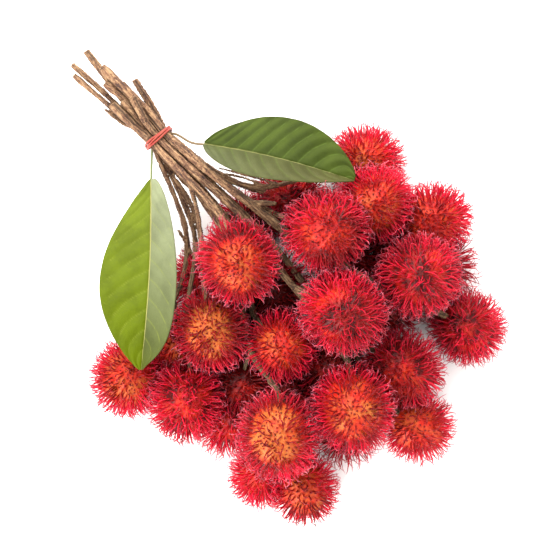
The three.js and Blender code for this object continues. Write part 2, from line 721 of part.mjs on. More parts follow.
function clearOfLeaves(root, tip) {
  const spine = new THREE.Line3(root, tip);
  const nearest = new THREE.Vector3();
  const clear = (p) => spine.closestPointToPoint(p, true, nearest).distanceTo(p) > GAP.leaf;
  return leaves.every((leaf) => leaf.surface.every(clear));
}

function clearOfSpines(root, tip, kept) {
  return kept.every((other) => segmentDistance(
    root.clone().lerp(tip, 0.2), tip, other.root.clone().lerp(other.tip, 0.2), other.tip,
  ) > FRUIT.spineRoot * 0.5);
}

function growSpines(fruit, random, strands) {
  const planes = partingPlanes(fruit);
  const kept = [];
  return spineDirections(fruit).map((direction) => {
    const spin = random() * 2 * Math.PI;
    const lean = new THREE.Vector3(Math.cos(spin), Math.sin(spin), 0);
    const size = 0.9 + 0.2 * random();
    if (direction.angleTo(UP) < FRUIT.bareAngle) return null;
    const root = direction.clone().multiply(fruit.semi);
    const normal = direction.clone().divide(fruit.semi).normalize();
    const reach = normal.clone().addScaledVector(lean, FRUIT.spineLean).normalize();
    const toBunch = (p) => p.clone().applyQuaternion(fruit.turn).add(fruit.middle);
    const worldRoot = toBunch(root);
    const straight = toBunch(root.clone().addScaledVector(reach, FRUIT.spineLength * size));
    const tip = bentTip(worldRoot, straight, planes);
    const stand = tip.clone().sub(worldRoot).dot(normal.clone().applyQuaternion(fruit.turn));
    const inside = planes.every(({ normal: n, offset }) => tip.dot(n) <= offset + 0.05);
    const onFloor = worldRoot.z < 2 || (worldRoot.z < FRUIT.spineRoot * 2 && tip.z < 2 * GAP.floor);
    const clear = clearOfWood(worldRoot, tip, strands) && clearOfLeaves(worldRoot, tip);
    if (stand < FRUIT.leastStand || !inside || onFloor || !clear) return null;
    if (!clearOfSpines(worldRoot, tip, kept)) return null;
    kept.push({ root: worldRoot, tip });
    return tip.sub(fruit.middle).applyQuaternion(fruit.turn.clone().invert());
  });
}

// Three corners of a spine's root on the body, round a direction.
function rootCorners(fruit, direction, spin) {
  const across = new THREE.Vector3(direction.y, -direction.x, 0.3).cross(direction).normalize();
  const up = direction.clone().cross(across);
  const spread = FRUIT.spineRoot / Math.sqrt(3) / fruit.radius;
  return [0, 1, 2].map((k) => {
    const angle = spin + (k * 2 * Math.PI) / 3;
    return direction.clone()
      .addScaledVector(across, spread * Math.cos(angle))
      .addScaledVector(up, spread * Math.sin(angle))
      .normalize()
      .multiply(fruit.semi);
  });
}

// What lies below the surface, in the fruit's own frame.
function belowSurface(fruit) {
  const slab = new THREE.BoxGeometry(6 * fruit.radius, 6 * fruit.radius, 4 * fruit.radius);
  slab.translate(fruit.middle.x, fruit.middle.y, -2 * fruit.radius);
  return slab.applyMatrix4(new THREE.Matrix4().compose(fruit.middle, fruit.turn, ONE).invert());
}

// The skin is the hull of all the root corners, and each root's own triangle is drawn out to a tip.
// A fruit that rests on the surface is flat where it touches.
function buildFruit(fruit, seed, strands) {
  const random = seeded(seed);
  const tips = growSpines(fruit, random, strands);
  const siteOf = new Map();
  spineDirections(fruit).forEach((direction, site) => {
    for (const corner of rootCorners(fruit, direction, random() * 2 * Math.PI)) siteOf.set(corner, site);
  });
  const triangles = [];
  for (const face of new ConvexHull().setFromPoints([...siteOf.keys()]).faces) {
    const corners = [face.edge.prev, face.edge, face.edge.next].map((edge) => edge.head().point);
    const [site, second, third] = corners.map((corner) => siteOf.get(corner));
    const tip = site === second && site === third ? tips[site] : null;
    if (tip) corners.forEach((corner, k) => triangles.push([corner, corners[(k + 1) % 3], tip]));
    else triangles.push(corners);
  }
  let solid = solidOf(geometryOfTriangles(triangles));
  if (fruit.rests) solid = solid.subtract(solidOf(belowSurface(fruit)));
  const mesh = new THREE.Mesh(geometryOf(solid), material(COLOURS.skin));
  mesh.name = fruit.name;
  mesh.position.copy(fruit.middle);
  mesh.quaternion.copy(fruit.turn);
  return mesh;
}

// ---------------------------------------------------------------- rubber band

// The band's inner line lies against the outermost stems in the tie, across and above its middle.
function bandLine(offset) {
  const middle = new THREE.Vector2(0, TIE.middleHeight);
  const count = TIE.bandFacings;
  const directions = Array.from({ length: count }, (_, i) => (2 * Math.PI * i) / count);
  const support = directions.map((angle) => Math.max(...stems.map(({ slot, radius }) => {
    const away = new THREE.Vector2(...slot).sub(middle);
    return away.x * Math.cos(angle) + away.y * Math.sin(angle) + radius * TIE.squeeze + offset;
  })));
  return directions.filter((_, i) => i % (count / TIE.bandCorners) === 0).map((angle) => {
    const far = Math.min(...directions.map((facing, i) => {
      const share = Math.cos(angle - facing);
      return share > 0.2 ? support[i] / share : Infinity;
    }));
    return new THREE.Vector2(far * Math.cos(angle), far * Math.sin(angle)).add(middle);
  });
}

function buildBand() {
  const outline = new THREE.Shape(bandLine(TIE.slack + TIE.bandThickness));
  outline.holes.push(new THREE.Path(bandLine(TIE.slack)));
  const geometry = new THREE.ExtrudeGeometry(outline, { depth: TIE.bandWidth, bevelEnabled: false });
  const mesh = new THREE.Mesh(geometry, material(COLOURS.rubber));
  mesh.name = "rubber_band";
  // The outline's x is across and its y is height: turn the extrusion to run along the bunch.
  mesh.quaternion.setFromRotationMatrix(
    new THREE.Matrix4().makeBasis(new THREE.Vector3(0, 1, 0), UP, new THREE.Vector3(1, 0, 0)),
  );
  mesh.position.set(-TIE.bandWidth / 2, 0, 0);
  return mesh;
}

// ---------------------------------------------------------------- the bunch

leaves.forEach(poseLeaf);
const strands = layStems();
settle(strands);

const bunch = new THREE.Group();
fruits.forEach((fruit, i) => bunch.add(buildFruit(fruit, 11 + i, strands)));
stems.forEach((stem) => bunch.add(buildStem(stem, strands)));
leaves.forEach((leaf) => bunch.add(buildLeaf(leaf)));
bunch.add(buildBand());

const footprint = new THREE.Box3().setFromObject(bunch, true).getCenter(new THREE.Vector3());
bunch.position.set(-footprint.x, -footprint.y, 0);

export default bunch;
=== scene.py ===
"""Finished look of a tied bunch of rambutans: fruits, stems, leaves and rubber band on one CAD frame."""

from __future__ import annotations

import heapq
import json
import logging
import math
from dataclasses import dataclass, field
from enum import Enum
from typing import Any, Iterable, Sequence

import bmesh
import bpy
import numpy as np
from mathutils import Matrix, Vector, noise
from mathutils.bvhtree import BVHTree

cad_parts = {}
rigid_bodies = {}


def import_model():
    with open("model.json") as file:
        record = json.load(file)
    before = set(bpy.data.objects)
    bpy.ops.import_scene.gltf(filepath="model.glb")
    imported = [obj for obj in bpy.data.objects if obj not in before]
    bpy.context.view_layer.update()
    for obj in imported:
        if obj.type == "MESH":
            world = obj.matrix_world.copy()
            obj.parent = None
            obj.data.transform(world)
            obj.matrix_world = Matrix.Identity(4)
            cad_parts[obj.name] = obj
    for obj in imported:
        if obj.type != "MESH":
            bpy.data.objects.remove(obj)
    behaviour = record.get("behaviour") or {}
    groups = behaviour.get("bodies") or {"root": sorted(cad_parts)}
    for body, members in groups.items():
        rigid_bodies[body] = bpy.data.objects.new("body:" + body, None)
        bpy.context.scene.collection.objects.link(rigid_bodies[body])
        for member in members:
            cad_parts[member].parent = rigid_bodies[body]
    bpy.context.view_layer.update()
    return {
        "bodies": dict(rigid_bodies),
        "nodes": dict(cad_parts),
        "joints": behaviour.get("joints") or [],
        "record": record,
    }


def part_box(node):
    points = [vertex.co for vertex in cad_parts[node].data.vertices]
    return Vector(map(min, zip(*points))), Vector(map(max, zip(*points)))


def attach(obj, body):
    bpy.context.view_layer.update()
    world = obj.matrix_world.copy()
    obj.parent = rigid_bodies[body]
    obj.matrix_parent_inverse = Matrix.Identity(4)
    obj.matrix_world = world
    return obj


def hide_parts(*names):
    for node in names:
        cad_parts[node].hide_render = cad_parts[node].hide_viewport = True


log = logging.getLogger("rambutans")

MM = 0.001
BUNCH_SHIFT = np.array((-96.048, 6.445, 0.0))  # from the foot of the tie to the frame's origin, mm
UP = np.array((0.0, 0.0, 1.0))
LEAST_HEIGHT = 0.05 * MM  # of a rind's lowest point over the surface
FIT_SPAN = 0.02  # about a fruit's half width in metres, the unit that its body is fitted in


# ------------------------------------------------------------------ small helpers


def deselect_all() -> None:
    """Leaves nothing selected, so that an operator acts only on what is chosen next."""
    if bpy.context.object and bpy.context.object.mode != "OBJECT":
        bpy.ops.object.mode_set(mode="OBJECT")
    bpy.ops.object.select_all(action="DESELECT")


def choose(piece: bpy.types.Object) -> None:
    """Makes one piece the only selected and the active one.

    Args:
        piece: The piece.
    """
    deselect_all()
    piece.select_set(True)
    bpy.context.view_layer.objects.active = piece


def points_of(mesh: bpy.types.Mesh) -> np.ndarray:
    """Reads where a mesh's vertices are.

    Args:
        mesh: The mesh.

    Returns:
        A row of x, y, z in metres for each vertex.
    """
    flat = np.empty(len(mesh.vertices) * 3)
    mesh.vertices.foreach_get("co", flat)
    return flat.reshape(-1, 3)


def put_points(mesh: bpy.types.Mesh, points: np.ndarray) -> None:
    """Moves the mesh's vertices to the given rows of x, y, z in metres."""
    mesh.vertices.foreach_set("co", np.ascontiguousarray(points, dtype=np.float32).ravel())
    mesh.update()


def paint(mesh: bpy.types.Mesh, name: str, values: np.ndarray) -> None:
    """Stores one number for each vertex, under a name that a material reads."""
    layer = mesh.attributes.new(name, "FLOAT", "POINT")
    layer.data.foreach_set("value", np.ascontiguousarray(values, dtype=np.float32))


def unit(rows: np.ndarray) -> np.ndarray:
    """Rows scaled to length one."""
    return rows / np.maximum(np.linalg.norm(rows, axis=-1, keepdims=True), 1e-12)


def merged_copy(node: bpy.types.Object, name: str) -> bpy.types.Object:
    """A copy of a CAD node with its loose triangles joined.

    Args:
        node: The CAD node.
        name: The copy's name.

    Returns:
        The copy, selected and active.
    """
    copy = bpy.data.objects.new(name, node.data.copy())
    bpy.context.collection.objects.link(copy)
    choose(copy)
    bpy.ops.object.mode_set(mode="EDIT")
    bpy.ops.mesh.select_all(action="SELECT")
    bpy.ops.mesh.remove_doubles(threshold=1e-6)
    bpy.ops.object.mode_set(mode="OBJECT")
    return copy


def finish_piece(piece: bpy.types.Object, node: str, material: bpy.types.Material) -> None:
    """Dresses a piece and hands it to the frame in place of its CAD node.

    Args:
        piece: The finished piece.
        node: The CAD node that it stands for.
        material: Its finish.
    """
    piece.data.materials.clear()
    piece.data.materials.append(material)
    choose(piece)
    bpy.ops.object.shade_smooth()
    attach(piece, "root")
    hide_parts(node)
    log.info("%s: %d triangles", piece.name, count_triangles(piece))


def count_triangles(piece: bpy.types.Object) -> int:
    """How many triangles the piece's faces make."""
    return sum(len(face.vertices) - 2 for face in piece.data.polygons)


# ------------------------------------------------------------------ shader graphs


class Graph:
    """Places and joins the nodes of one material or of one shared group."""

    def __init__(self, tree: bpy.types.NodeTree) -> None:
        """Starts from an empty tree."""
        self.tree = tree
        tree.nodes.clear()

    def add(self, kind: str, sockets: dict[Any, Any] | None = None, **settings: Any) -> bpy.types.Node:
        """Adds a node.

        Args:
            kind: The node's type without its ShaderNode prefix.
            sockets: For each input by name or number, a value or the output that feeds it.
            **settings: The node's own settings.

        Returns:
            The new node.
        """
        node = self.tree.nodes.new(kind if kind.startswith("Node") else "ShaderNode" + kind)
        for key, value in settings.items():
            setattr(node, key, value)
        self.feed(node, sockets or {})
        return node

    def feed(self, node: bpy.types.Node, sockets: dict[Any, Any]) -> None:
        """Fills a node's inputs.

        Args:
            node: The node.
            sockets: For each input by name or number, a value or the output that feeds it.
        """
        for key, value in sockets.items():
            if isinstance(value, bpy.types.NodeSocket):
                self.tree.links.new(value, node.inputs[key])
            else:
                node.inputs[key].default_value = value

    def mask(self, name: str) -> bpy.types.NodeSocket:
        """The number painted on the mesh under a name."""
        return self.add("Attribute", attribute_name=name).outputs["Fac"]

    def place(self) -> bpy.types.NodeSocket:
        """The point's own place on the piece, in metres."""
        return self.add("TexCoord").outputs["Object"]

    def math(self, kind: str, *values: Any, clamp: bool = False) -> bpy.types.NodeSocket:
        """One sum of one to three values."""
        node = self.add("Math", dict(enumerate(values)), operation=kind, use_clamp=clamp)
        return node.outputs[0]

    def between(self, value: Any, low: float, high: float) -> bpy.types.NodeSocket:
        """A smooth step of a value from 0 at low to 1 at high."""
        sockets = {"Value": value, "From Min": low, "From Max": high}
        return self.add("MapRange", sockets, interpolation_type="SMOOTHSTEP").outputs["Result"]

    def mix(self, share: Any, first: Any, second: Any, kind: str = "MIX") -> bpy.types.NodeSocket:
        """Two colours mixed by a share."""
        sockets = {0: share, 6: first, 7: second}
        return self.add("Mix", sockets, data_type="RGBA", blend_type=kind).outputs[2]

    def ramp(self, value: Any, stops: Sequence[tuple[float, Sequence[float]]]) -> bpy.types.NodeSocket:
        """A colour for a value.

        Args:
            value: The value's socket.
            stops: Places from 0 to 1, each with its linear colour and alpha.

        Returns:
            The colour's socket.
        """
        node = self.add("ValToRGB", {0: value})
        elements = node.color_ramp.elements
        elements[0].position, elements[1].position = stops[0][0], stops[-1][0]
        for place, _ in stops[1:-1]:
            elements.new(place)
        for element, (_, colour) in zip(elements, stops):
            element.color = colour
        return node.outputs["Color"]

    def group(self, shared: bpy.types.NodeTree, sockets: dict[str, Any]) -> bpy.types.Node:
        """Places a shared group with this material's own values."""
        return self.add("Group", sockets, node_tree=shared)


def linear(code: str) -> tuple[float, ...]:
    """A six-digit sRGB colour code as linear red, green and blue, and a full alpha."""
    parts = [int(code[i : i + 2], 16) / 255 for i in (0, 2, 4)]
    return (*(c / 12.92 if c <= 0.04045 else ((c + 0.055) / 1.055) ** 2.4 for c in parts), 1.0)


def new_group(name: str, inputs: dict[str, float], outputs: Iterable[str]) -> tuple[Graph, Any, Any]:
    """Starts a shared shader group with a vector input named Place and inputs that are numbers.

    Args:
        name: The group's name.
        inputs: The usual value of each number by its name.
        outputs: The outputs' names, all of them numbers.

    Returns:
        Its graph, its input node and its output node.
    """
    tree = bpy.data.node_groups.new(name, "ShaderNodeTree")
    tree.interface.new_socket("Place", in_out="INPUT", socket_type="NodeSocketVector")
    for key, value in inputs.items():
        tree.interface.new_socket(key, in_out="INPUT", socket_type="NodeSocketFloat").default_value = value
    for key in outputs:
        tree.interface.new_socket(key, in_out="OUTPUT", socket_type="NodeSocketFloat")
    graph = Graph(tree)
    return graph, graph.add("NodeGroupInput"), graph.add("NodeGroupOutput")


class SharedEffects:
    """The shader groups that more than one finish uses."""

    def __init__(self) -> None:
        """Builds each group once."""
        self.mottle = self.build_mottle()

    @staticmethod
    def build_mottle() -> bpy.types.NodeTree:
        """Blotches in two sizes, as masks, and fine grain as a height.

        Returns:
            The group, whose inputs Broad and Fine are the blotches' sizes in metres.
        """
        graph, given, result = new_group(
            "mottle", {"Broad": 0.02, "Fine": 0.002}, ("Blotch", "Fleck", "Grain")
        )
        place = given.outputs["Place"]
        for key, size, detail in (("Blotch", "Broad", 3.0), ("Fleck", "Fine", 2.0)):
            scale = graph.math("DIVIDE", 1.0, given.outputs[size])
            found = graph.add("TexNoise", {"Vector": place, "Scale": scale, "Detail": detail})
            spread = graph.between(found.outputs["Fac"], 0.36, 0.64)
            graph.feed(result, {key: spread})
        fine = graph.math("DIVIDE", 3.0, given.outputs["Fine"])
        grain = graph.add("TexNoise", {"Vector": place, "Scale": fine, "Detail": 4.0, "Roughness": 0.7})
        graph.feed(result, {"Grain": grain.outputs["Fac"]})
        return graph.tree


def new_material(name: str) -> tuple[bpy.types.Material, Graph, bpy.types.Node]:
    """A material with a Principled shader joined to its output.

    Args:
        name: The material's name.

    Returns:
        The material, its graph and its shader node.
    """
    material = bpy.data.materials.new(name)
    material.use_nodes = True
    graph = Graph(material.node_tree)
    shader = graph.add("BsdfPrincipled")
    graph.add("OutputMaterial", {"Surface": shader.outputs["BSDF"]})
    return material, graph, shader


# ------------------------------------------------------------------ finishes


@dataclass(frozen=True)
class RindFinish:
    """Rambutan rind: a pebbled skin with soft spines that pale towards their tips, the paleness partly their
    own colour and partly a painted highlight, and with painted shade in the hollows among their roots.
    """

    skins: tuple[str, ...] = ("cc7032", "c84822", "cc2818", "a00b14", "54060c")  # from unripe to overripe; the last is mostly on the fruits underneath, where it is painted shade
    skin_places: tuple[float, ...] = (0.05, 0.35, 0.62, 0.88, 1.0)  # the ripeness of each
    blotching: float = 0.4  # between the least and the most ripe blotch
    fleck: str = "a01c0c"
    fleck_share: float = 0.3
    # painted shade: the colour that the hollows among the spines' roots are darkened towards
    root_hollow_shade: str = "220306"
    root_hollow_shade_share: float = 0.88
    roots: tuple[str, str] = ("bc0c14", "8e100a")  # of spines off the palest cheek and on it; the dark ones on the cheek are partly their own colour, partly painted shade on spines seen end-on
    middles: tuple[str, str] = ("c80e2c", "740c12")
    # the first, pale tip colour is partly the spines' own and partly a painted highlight, as on hairs lit at
    # the fruit's sides
    tips: tuple[str, str] = ("cc6476", "5c1418")
    spine_places: tuple[float, ...] = (0.04, 0.35, 0.64, 0.92)  # of root, middle twice and tip
    spine_foot: float = 0.16  # share of a spine over which the skin turns into it
    cheek_edge: tuple[float, float] = (0.25, 0.95)  # where a cheek's spines change colour
    tints: tuple[float, float] = (0.7, 0.52)  # how much spines differ in brightness, and the least
    ripe_and_shade_darkening: float = 0.42  # of the ripest rind: partly the ripe colour, partly painted shade on the fruits underneath
    darkened: tuple[float, float] = (0.72, 1.0)  # the ripeness that it starts and ends at
    roughness: float = 0.4
    gloss: float = 0.17
    pebble: float = 0.3 * MM  # height of the skin's grain

    def build(self, effects: SharedEffects) -> bpy.types.Material:
        """Makes the material.

        Args:
            effects: The shared shader groups.

        Returns:
            The material.
        """
        material, graph, shader = new_material("rambutan_rind")
        place = graph.place()
        mottle = graph.group(effects.mottle, {"Place": place, "Broad": 0.008, "Fine": 0.0011})
        ripe, reach, tint = graph.mask("ripe"), graph.mask("reach"), graph.mask("tint")
        blotch = graph.math("MULTIPLY_ADD", mottle.outputs["Blotch"], self.blotching, -self.blotching / 2)
        ripeness = graph.math("ADD", ripe, blotch, clamp=True)
        skin = graph.ramp(ripeness, list(zip(self.skin_places, map(linear, self.skins))))
        fleck = graph.math("MULTIPLY", mottle.outputs["Fleck"], self.fleck_share)
        skin = graph.mix(fleck, skin, linear(self.fleck))
        spines = [
            graph.ramp(reach, list(zip(self.spine_places, map(linear, colours))))
            for colours in zip(self.roots, self.middles, self.middles, self.tips)
        ]
        spine = graph.mix(graph.between(graph.mask("cheek"), *self.cheek_edge), *spines)
        colour = graph.mix(graph.between(reach, 0.0, self.spine_foot), skin, spine)
        # painted shade in the hollows among the spines' roots
        root_hollow_shade = graph.math("MULTIPLY", graph.mask("root_hollow_shade"), self.root_hollow_shade_share)
        colour = graph.mix(root_hollow_shade, colour, linear(self.root_hollow_shade))
        shade = graph.math("MULTIPLY_ADD", tint, *self.tints)
        # darkens the ripest rind: partly ripe colour, partly painted shade on the fruits underneath
        dark = graph.math("MULTIPLY_ADD", graph.between(ripe, *self.darkened), -self.ripe_and_shade_darkening, 1.0)
        shade = graph.math("MULTIPLY", shade, dark)
        grey = graph.add("CombineColor", {0: shade, 1: shade, 2: shade}).outputs[0]
        colour = graph.mix(1.0, colour, grey, "MULTIPLY")
        grain = mottle.outputs["Grain"]
        bump = graph.add("Bump", {"Strength": 0.35, "Distance": self.pebble, "Height": grain})
        graph.feed(
            shader,
            {
                "Base Color": colour,
                "Roughness": self.roughness,
                "Specular IOR Level": self.gloss,
                "Normal": bump.outputs["Normal"],
                "Sheen Weight": 0.02,
                "Sheen Roughness": 0.35,
                "Sheen Tint": (1.0, 0.62, 0.68, 1.0),
                "Subsurface Weight": 0.3,
                "Subsurface Radius": (0.6, 0.12, 0.1),
                "Subsurface Scale": 0.003,
            },
        )
        return material


@dataclass(frozen=True)
class BarkFinish:
    """Thin tan bark: lengthwise streaks, dark scars, painted shade in its creases, and pale wood where it is
    cut.
    """

    tones: tuple[str, ...] = ("150804", "472918", "6c4a31", "9a7956")
    young: tuple[str, ...] = ("140904", "3c2a16", "5c442a", "806746")  # near the fruits
    places: tuple[float, ...] = (0.37, 0.47, 0.58, 0.72)  # of the four tones
    turning: tuple[float, float] = (0.11, 0.19)  # from old to young bark, in metres from the cut
    # painted shade: the colour that the bark's hollows are darkened towards
    crease_shade: str = "2a170a"
    crease_shade_share: float = 0.85
    wood: tuple[str, str] = ("a0885f", "866442")
    streaks: float = 42.0  # how fast they change along the stem, a metre
    streaks_round: float = 3.4  # how fast they change round it
    streak_share: float = 1.02  # of the tone
    blotch_share: float = 0.08
    fleck_share: float = 0.09
    scars: float = 90.0  # how fast they change along the stem, a metre
    scar_range: tuple[float, float] = (0.66, 0.78)  # from none to a full scar
    scar_share: float = 0.12
    roughness: float = 0.8
    furrow: float = 0.8 * MM  # height of the bark's streaks

    def build(self, effects: SharedEffects) -> bpy.types.Material:
        """Makes the material.

        Args:
            effects: The shared shader groups.

        Returns:
            The material.
        """
        material, graph, shader = new_material("stem_bark_tan")
        place = graph.place()
        mottle = graph.group(effects.mottle, {"Place": place, "Broad": 0.01, "Fine": 0.001})
        along = graph.mask("along")
        around = graph.add("Attribute", attribute_name="around").outputs["Vector"]
        sockets = {
            "Vector": around,
            "W": graph.math("MULTIPLY", along, self.streaks),
            "Scale": self.streaks_round,
            "Detail": 2.5,
            "Roughness": 0.62,
        }
        streak = graph.add("TexNoise", sockets, noise_dimensions="4D").outputs["Fac"]
        sockets = {"W": graph.math("MULTIPLY", along, self.scars), "Detail": 2.0}
        scars = graph.add("TexNoise", sockets, noise_dimensions="1D").outputs["Fac"]
        scar = graph.between(scars, *self.scar_range)
        tone = graph.math("MULTIPLY", streak, self.streak_share)
        tone = graph.math("MULTIPLY_ADD", mottle.outputs["Blotch"], self.blotch_share, tone)
        tone = graph.math("MULTIPLY_ADD", mottle.outputs["Fleck"], self.fleck_share, tone)
        tone = graph.math("MULTIPLY_ADD", scar, -self.scar_share, tone)
        old = graph.ramp(tone, list(zip(self.places, map(linear, self.tones))))
        young = graph.ramp(tone, list(zip(self.places, map(linear, self.young))))
        bark = graph.mix(graph.between(along, *self.turning), old, young)
        # painted shade in the bark's hollows
        crease_shade = graph.math("MULTIPLY", graph.mask("crease_shade"), self.crease_shade_share)
        bark = graph.mix(crease_shade, bark, linear(self.crease_shade))
        wood = graph.mix(mottle.outputs["Fleck"], *map(linear, self.wood))
        colour = graph.mix(graph.mask("cut"), bark, wood)
        height = graph.math("MULTIPLY_ADD", mottle.outputs["Grain"], 0.5, streak)
        bump = graph.add("Bump", {"Strength": 0.8, "Distance": self.furrow, "Height": height})
        graph.feed(
            shader,
            {"Base Color": colour, "Roughness": self.roughness, "Normal": bump.outputs["Normal"]},
        )
        return material


@dataclass(frozen=True)
class LeafFinish:
    """A leathery leaf blade with pale sunken veins, painted light and shade in bands beside its side veins,
    and a soft gloss.
    """

    name: str
    # on the half folded up steeply, a paler, greyer colour is partly the leaf's own and partly a painted
    # reflection of the sky
    right: tuple[str, str]  # colours of the right half, at its base and at its tip
    left: tuple[str, str]
    vein: str
    midrib: str
    stalk: str
    vein_shade_banding: float  # painted shade: how much darker the blade is on one side of each side vein, as if its bulges were lit from one side
    vein_share: float = 0.28
    brightness: float = 0.86  # of its darkest blotches
    blotch_share: float = 0.22
    fleck_share: float = 0.06
    roughness: float = 0.37  # of the smoothest places
    matt_flecks: float = 0.12  # how much rougher flecks are
    gloss: float = 0.05
    cells: float = 900.0  # a metre
    leather: float = 0.3 * MM  # height of the cells

    def build(self, effects: SharedEffects) -> bpy.types.Material:
        """Makes the material.

        Args:
            effects: The shared shader groups.

        Returns:
            The material.
        """
        material, graph, shader = new_material(self.name)
        place = graph.place()
        mottle = graph.group(effects.mottle, {"Place": place, "Broad": 0.016, "Fine": 0.0016})
        share = graph.mask("share")
        right, left = (graph.mix(share, *map(linear, half)) for half in (self.right, self.left))
        # the steep half's paler colour is partly painted reflection
        blade = graph.mix(graph.mask("side"), right, left)
        least = self.brightness + self.vein_shade_banding / 2
        cloud = graph.math("MULTIPLY_ADD", mottle.outputs["Blotch"], self.blotch_share, least)
        # painted light and shade: darker on one side of each side vein, lighter on the other
        cloud = graph.math("MULTIPLY_ADD", graph.mask("wave"), -self.vein_shade_banding, cloud)
        cloud = graph.math("MULTIPLY_ADD", mottle.outputs["Fleck"], self.fleck_share, cloud)
        grey = graph.add("CombineColor", {0: cloud, 1: cloud, 2: cloud}).outputs[0]
        blade = graph.mix(1.0, blade, grey, "MULTIPLY")
        vein = graph.math("MULTIPLY", graph.mask("vein"), self.vein_share)
        blade = graph.mix(vein, blade, linear(self.vein))
        colour = graph.mix(graph.mask("midrib"), blade, linear(self.midrib))
        colour = graph.mix(graph.mask("stalk"), colour, linear(self.stalk))
        cells = graph.add("TexVoronoi", {"Vector": place, "Scale": self.cells}, feature="DISTANCE_TO_EDGE")
        height = graph.math("MULTIPLY", graph.between(cells.outputs["Distance"], 0.0, 0.25), 0.6)
        height = graph.math("ADD", height, graph.math("MULTIPLY", mottle.outputs["Grain"], 0.6))
        bump = graph.add("Bump", {"Strength": 0.25, "Distance": self.leather, "Height": height})
        rough = graph.math("MULTIPLY_ADD", mottle.outputs["Fleck"], self.matt_flecks, self.roughness)
        graph.feed(
            shader,
            {
                "Base Color": colour,
                "Roughness": rough,
                "Normal": bump.outputs["Normal"],
                "Specular IOR Level": self.gloss,
            },
        )
        return material


@dataclass(frozen=True)
class RubberFinish:
    """Dull coral rubber with a dusty bloom."""

    rubber: str = "862013"
    bloom: str = "8e3928"
    roughness: float = 0.5
    dust: float = 0.2 * MM  # height of the bloom's grain

    def build(self, effects: SharedEffects) -> bpy.types.Material:
        """Makes the material.

        Args:
            effects: The shared shader groups.

        Returns:
            The material.
        """
        material, graph, shader = new_material("rubber_coral")
        place = graph.place()
        mottle = graph.group(effects.mottle, {"Place": place, "Broad": 0.004, "Fine": 0.0006})
        colour = graph.mix(mottle.outputs["Blotch"], linear(self.rubber), linear(self.bloom))
        bump = graph.add(
            "Bump", {"Strength": 0.2, "Distance": self.dust, "Height": mottle.outputs["Grain"]}
        )
        graph.feed(
            shader,
            {"Base Color": colour, "Roughness": self.roughness, "Normal": bump.outputs["Normal"]},
        )
        return material


# ------------------------------------------------------------------ fruits


class Ripeness(Enum):
    """How far a fruit has turned, from orange to dark crimson: its palest cheek, and the rest of it."""

    TURNING = (0.06, 0.84)
    BLUSHED = (0.34, 0.82)
    # painted light: a paler, brighter red, given to fruits in the shade of a leaf or a neighbour to lift them
    FRESH = (0.42, 0.5)
    BRIGHT = (0.53, 0.64)
    RIPE = (0.62, 0.82)
    DARK = (0.7, 0.88)
    DUSKY = (0.8, 0.95)
    # painted shade: the fruits underneath, deep in the heap, are coloured this dark to stand for the shade
    # there
    DEEP = (0.98, 1.0)


@dataclass(frozen=True)
class Look:
    """How ripe a fruit is, and where its palest cheek is."""

    # fruits that are not listed, those underneath, take this darkest colour as painted shade
    ripeness: Ripeness = Ripeness.DEEP
    lean: tuple[float, float] = (0.0, 0.0)  # of the cheek, from straight up
    narrow: float = 0.88  # how narrow the cheek is; from 1.5 up there is none


@dataclass
class Body:
    """A fruit's body: an ellipsoid with its stalk at the end of its last axis."""

    centre: np.ndarray
    axes: np.ndarray  # columns, the last one towards the stalk
    semi: np.ndarray

    def local(self, points: np.ndarray) -> np.ndarray:
        """Points in the body's own frame, where its surface has length one."""
        return (points - self.centre) @ self.axes / self.semi

    def world(self, local: np.ndarray) -> np.ndarray:
        """Points of the body's own frame, in the bunch's."""
        return (local * self.semi) @ self.axes.T + self.centre

    def normals(self, local: np.ndarray) -> np.ndarray:
        """Outward directions at points of the surface given in the body's own frame."""
        return unit(local / self.semi) @ self.axes.T

    def push_out(self, points: np.ndarray, margin: float) -> np.ndarray:
        """Moves points that are in or near the body out of it.

        Args:
            points: The points.
            margin: How near they may be, in metres.

        Returns:
            The points, those within the margin moved out to it.
        """
        local = self.local(points)
        length = np.linalg.norm(local, axis=-1, keepdims=True)
        least = 1.0 + margin / self.semi.mean()
        inside = length < least
        moved = self.world(local / np.maximum(length, 1e-9) * least)
        return np.where(inside, moved, points)


def fitted_body(node: bpy.types.Object, stalks: np.ndarray) -> Body:
    """Finds the ellipsoid that the skin of a CAD fruit lies on.

    Args:
        node: The CAD fruit, a skin of triangles with some drawn out to spines.
        stalks: Points of all the stems; the nearest marks the stalk's end.

    Returns:
        The body.
    """
    form = bmesh.new()
    form.from_mesh(node.data)
    bmesh.ops.remove_doubles(form, verts=form.verts, dist=1e-6)
    # A spine's tip has only three edges, and the resting spot is pressed flat: neither is skin.
    skin = np.array([v.co[:] for v in form.verts if len(v.link_edges) > 3 and v.co.z > 1e-5])
    form.free()
    middle = skin.mean(axis=0)
    x, y, z = ((skin - middle) / FIT_SPAN).T
    table = np.stack([x * x, y * y, z * z, 2 * x * y, 2 * x * z, 2 * y * z, 2 * x, 2 * y, 2 * z], axis=1)
    v = np.linalg.lstsq(table, np.ones(len(skin)), rcond=None)[0]
    quadric = np.array([[v[0], v[3], v[4]], [v[3], v[1], v[5]], [v[4], v[5], v[2]]])
    offset = -np.linalg.solve(quadric, v[6:9])
    scale = 1 + offset @ quadric @ offset
    values, vectors = np.linalg.eigh(quadric / scale)
    semi = FIT_SPAN / np.sqrt(values)  # longest first
    centre = middle + offset * FIT_SPAN
    axis = vectors[:, 0]
    ends = [centre + axis * semi[0], centre - axis * semi[0]]
    near = [np.linalg.norm(stalks - end, axis=1).min() for end in ends]
    if near[1] < near[0]:
        axis = -axis
    side = unit(np.cross(axis, (0.31, 0.67, 0.41)))
    axes = np.stack([side, np.cross(axis, side), axis], axis=1)
    width = math.sqrt(semi[1] * semi[2])
    return Body(centre, axes, np.array((width, width, semi[0])))


class Density(Enum):
    """How densely a shell's spines stand, as how often each edge of an icosahedron is cut."""

    SPARSE = 3
    USUAL = 4
    DENSE = 5


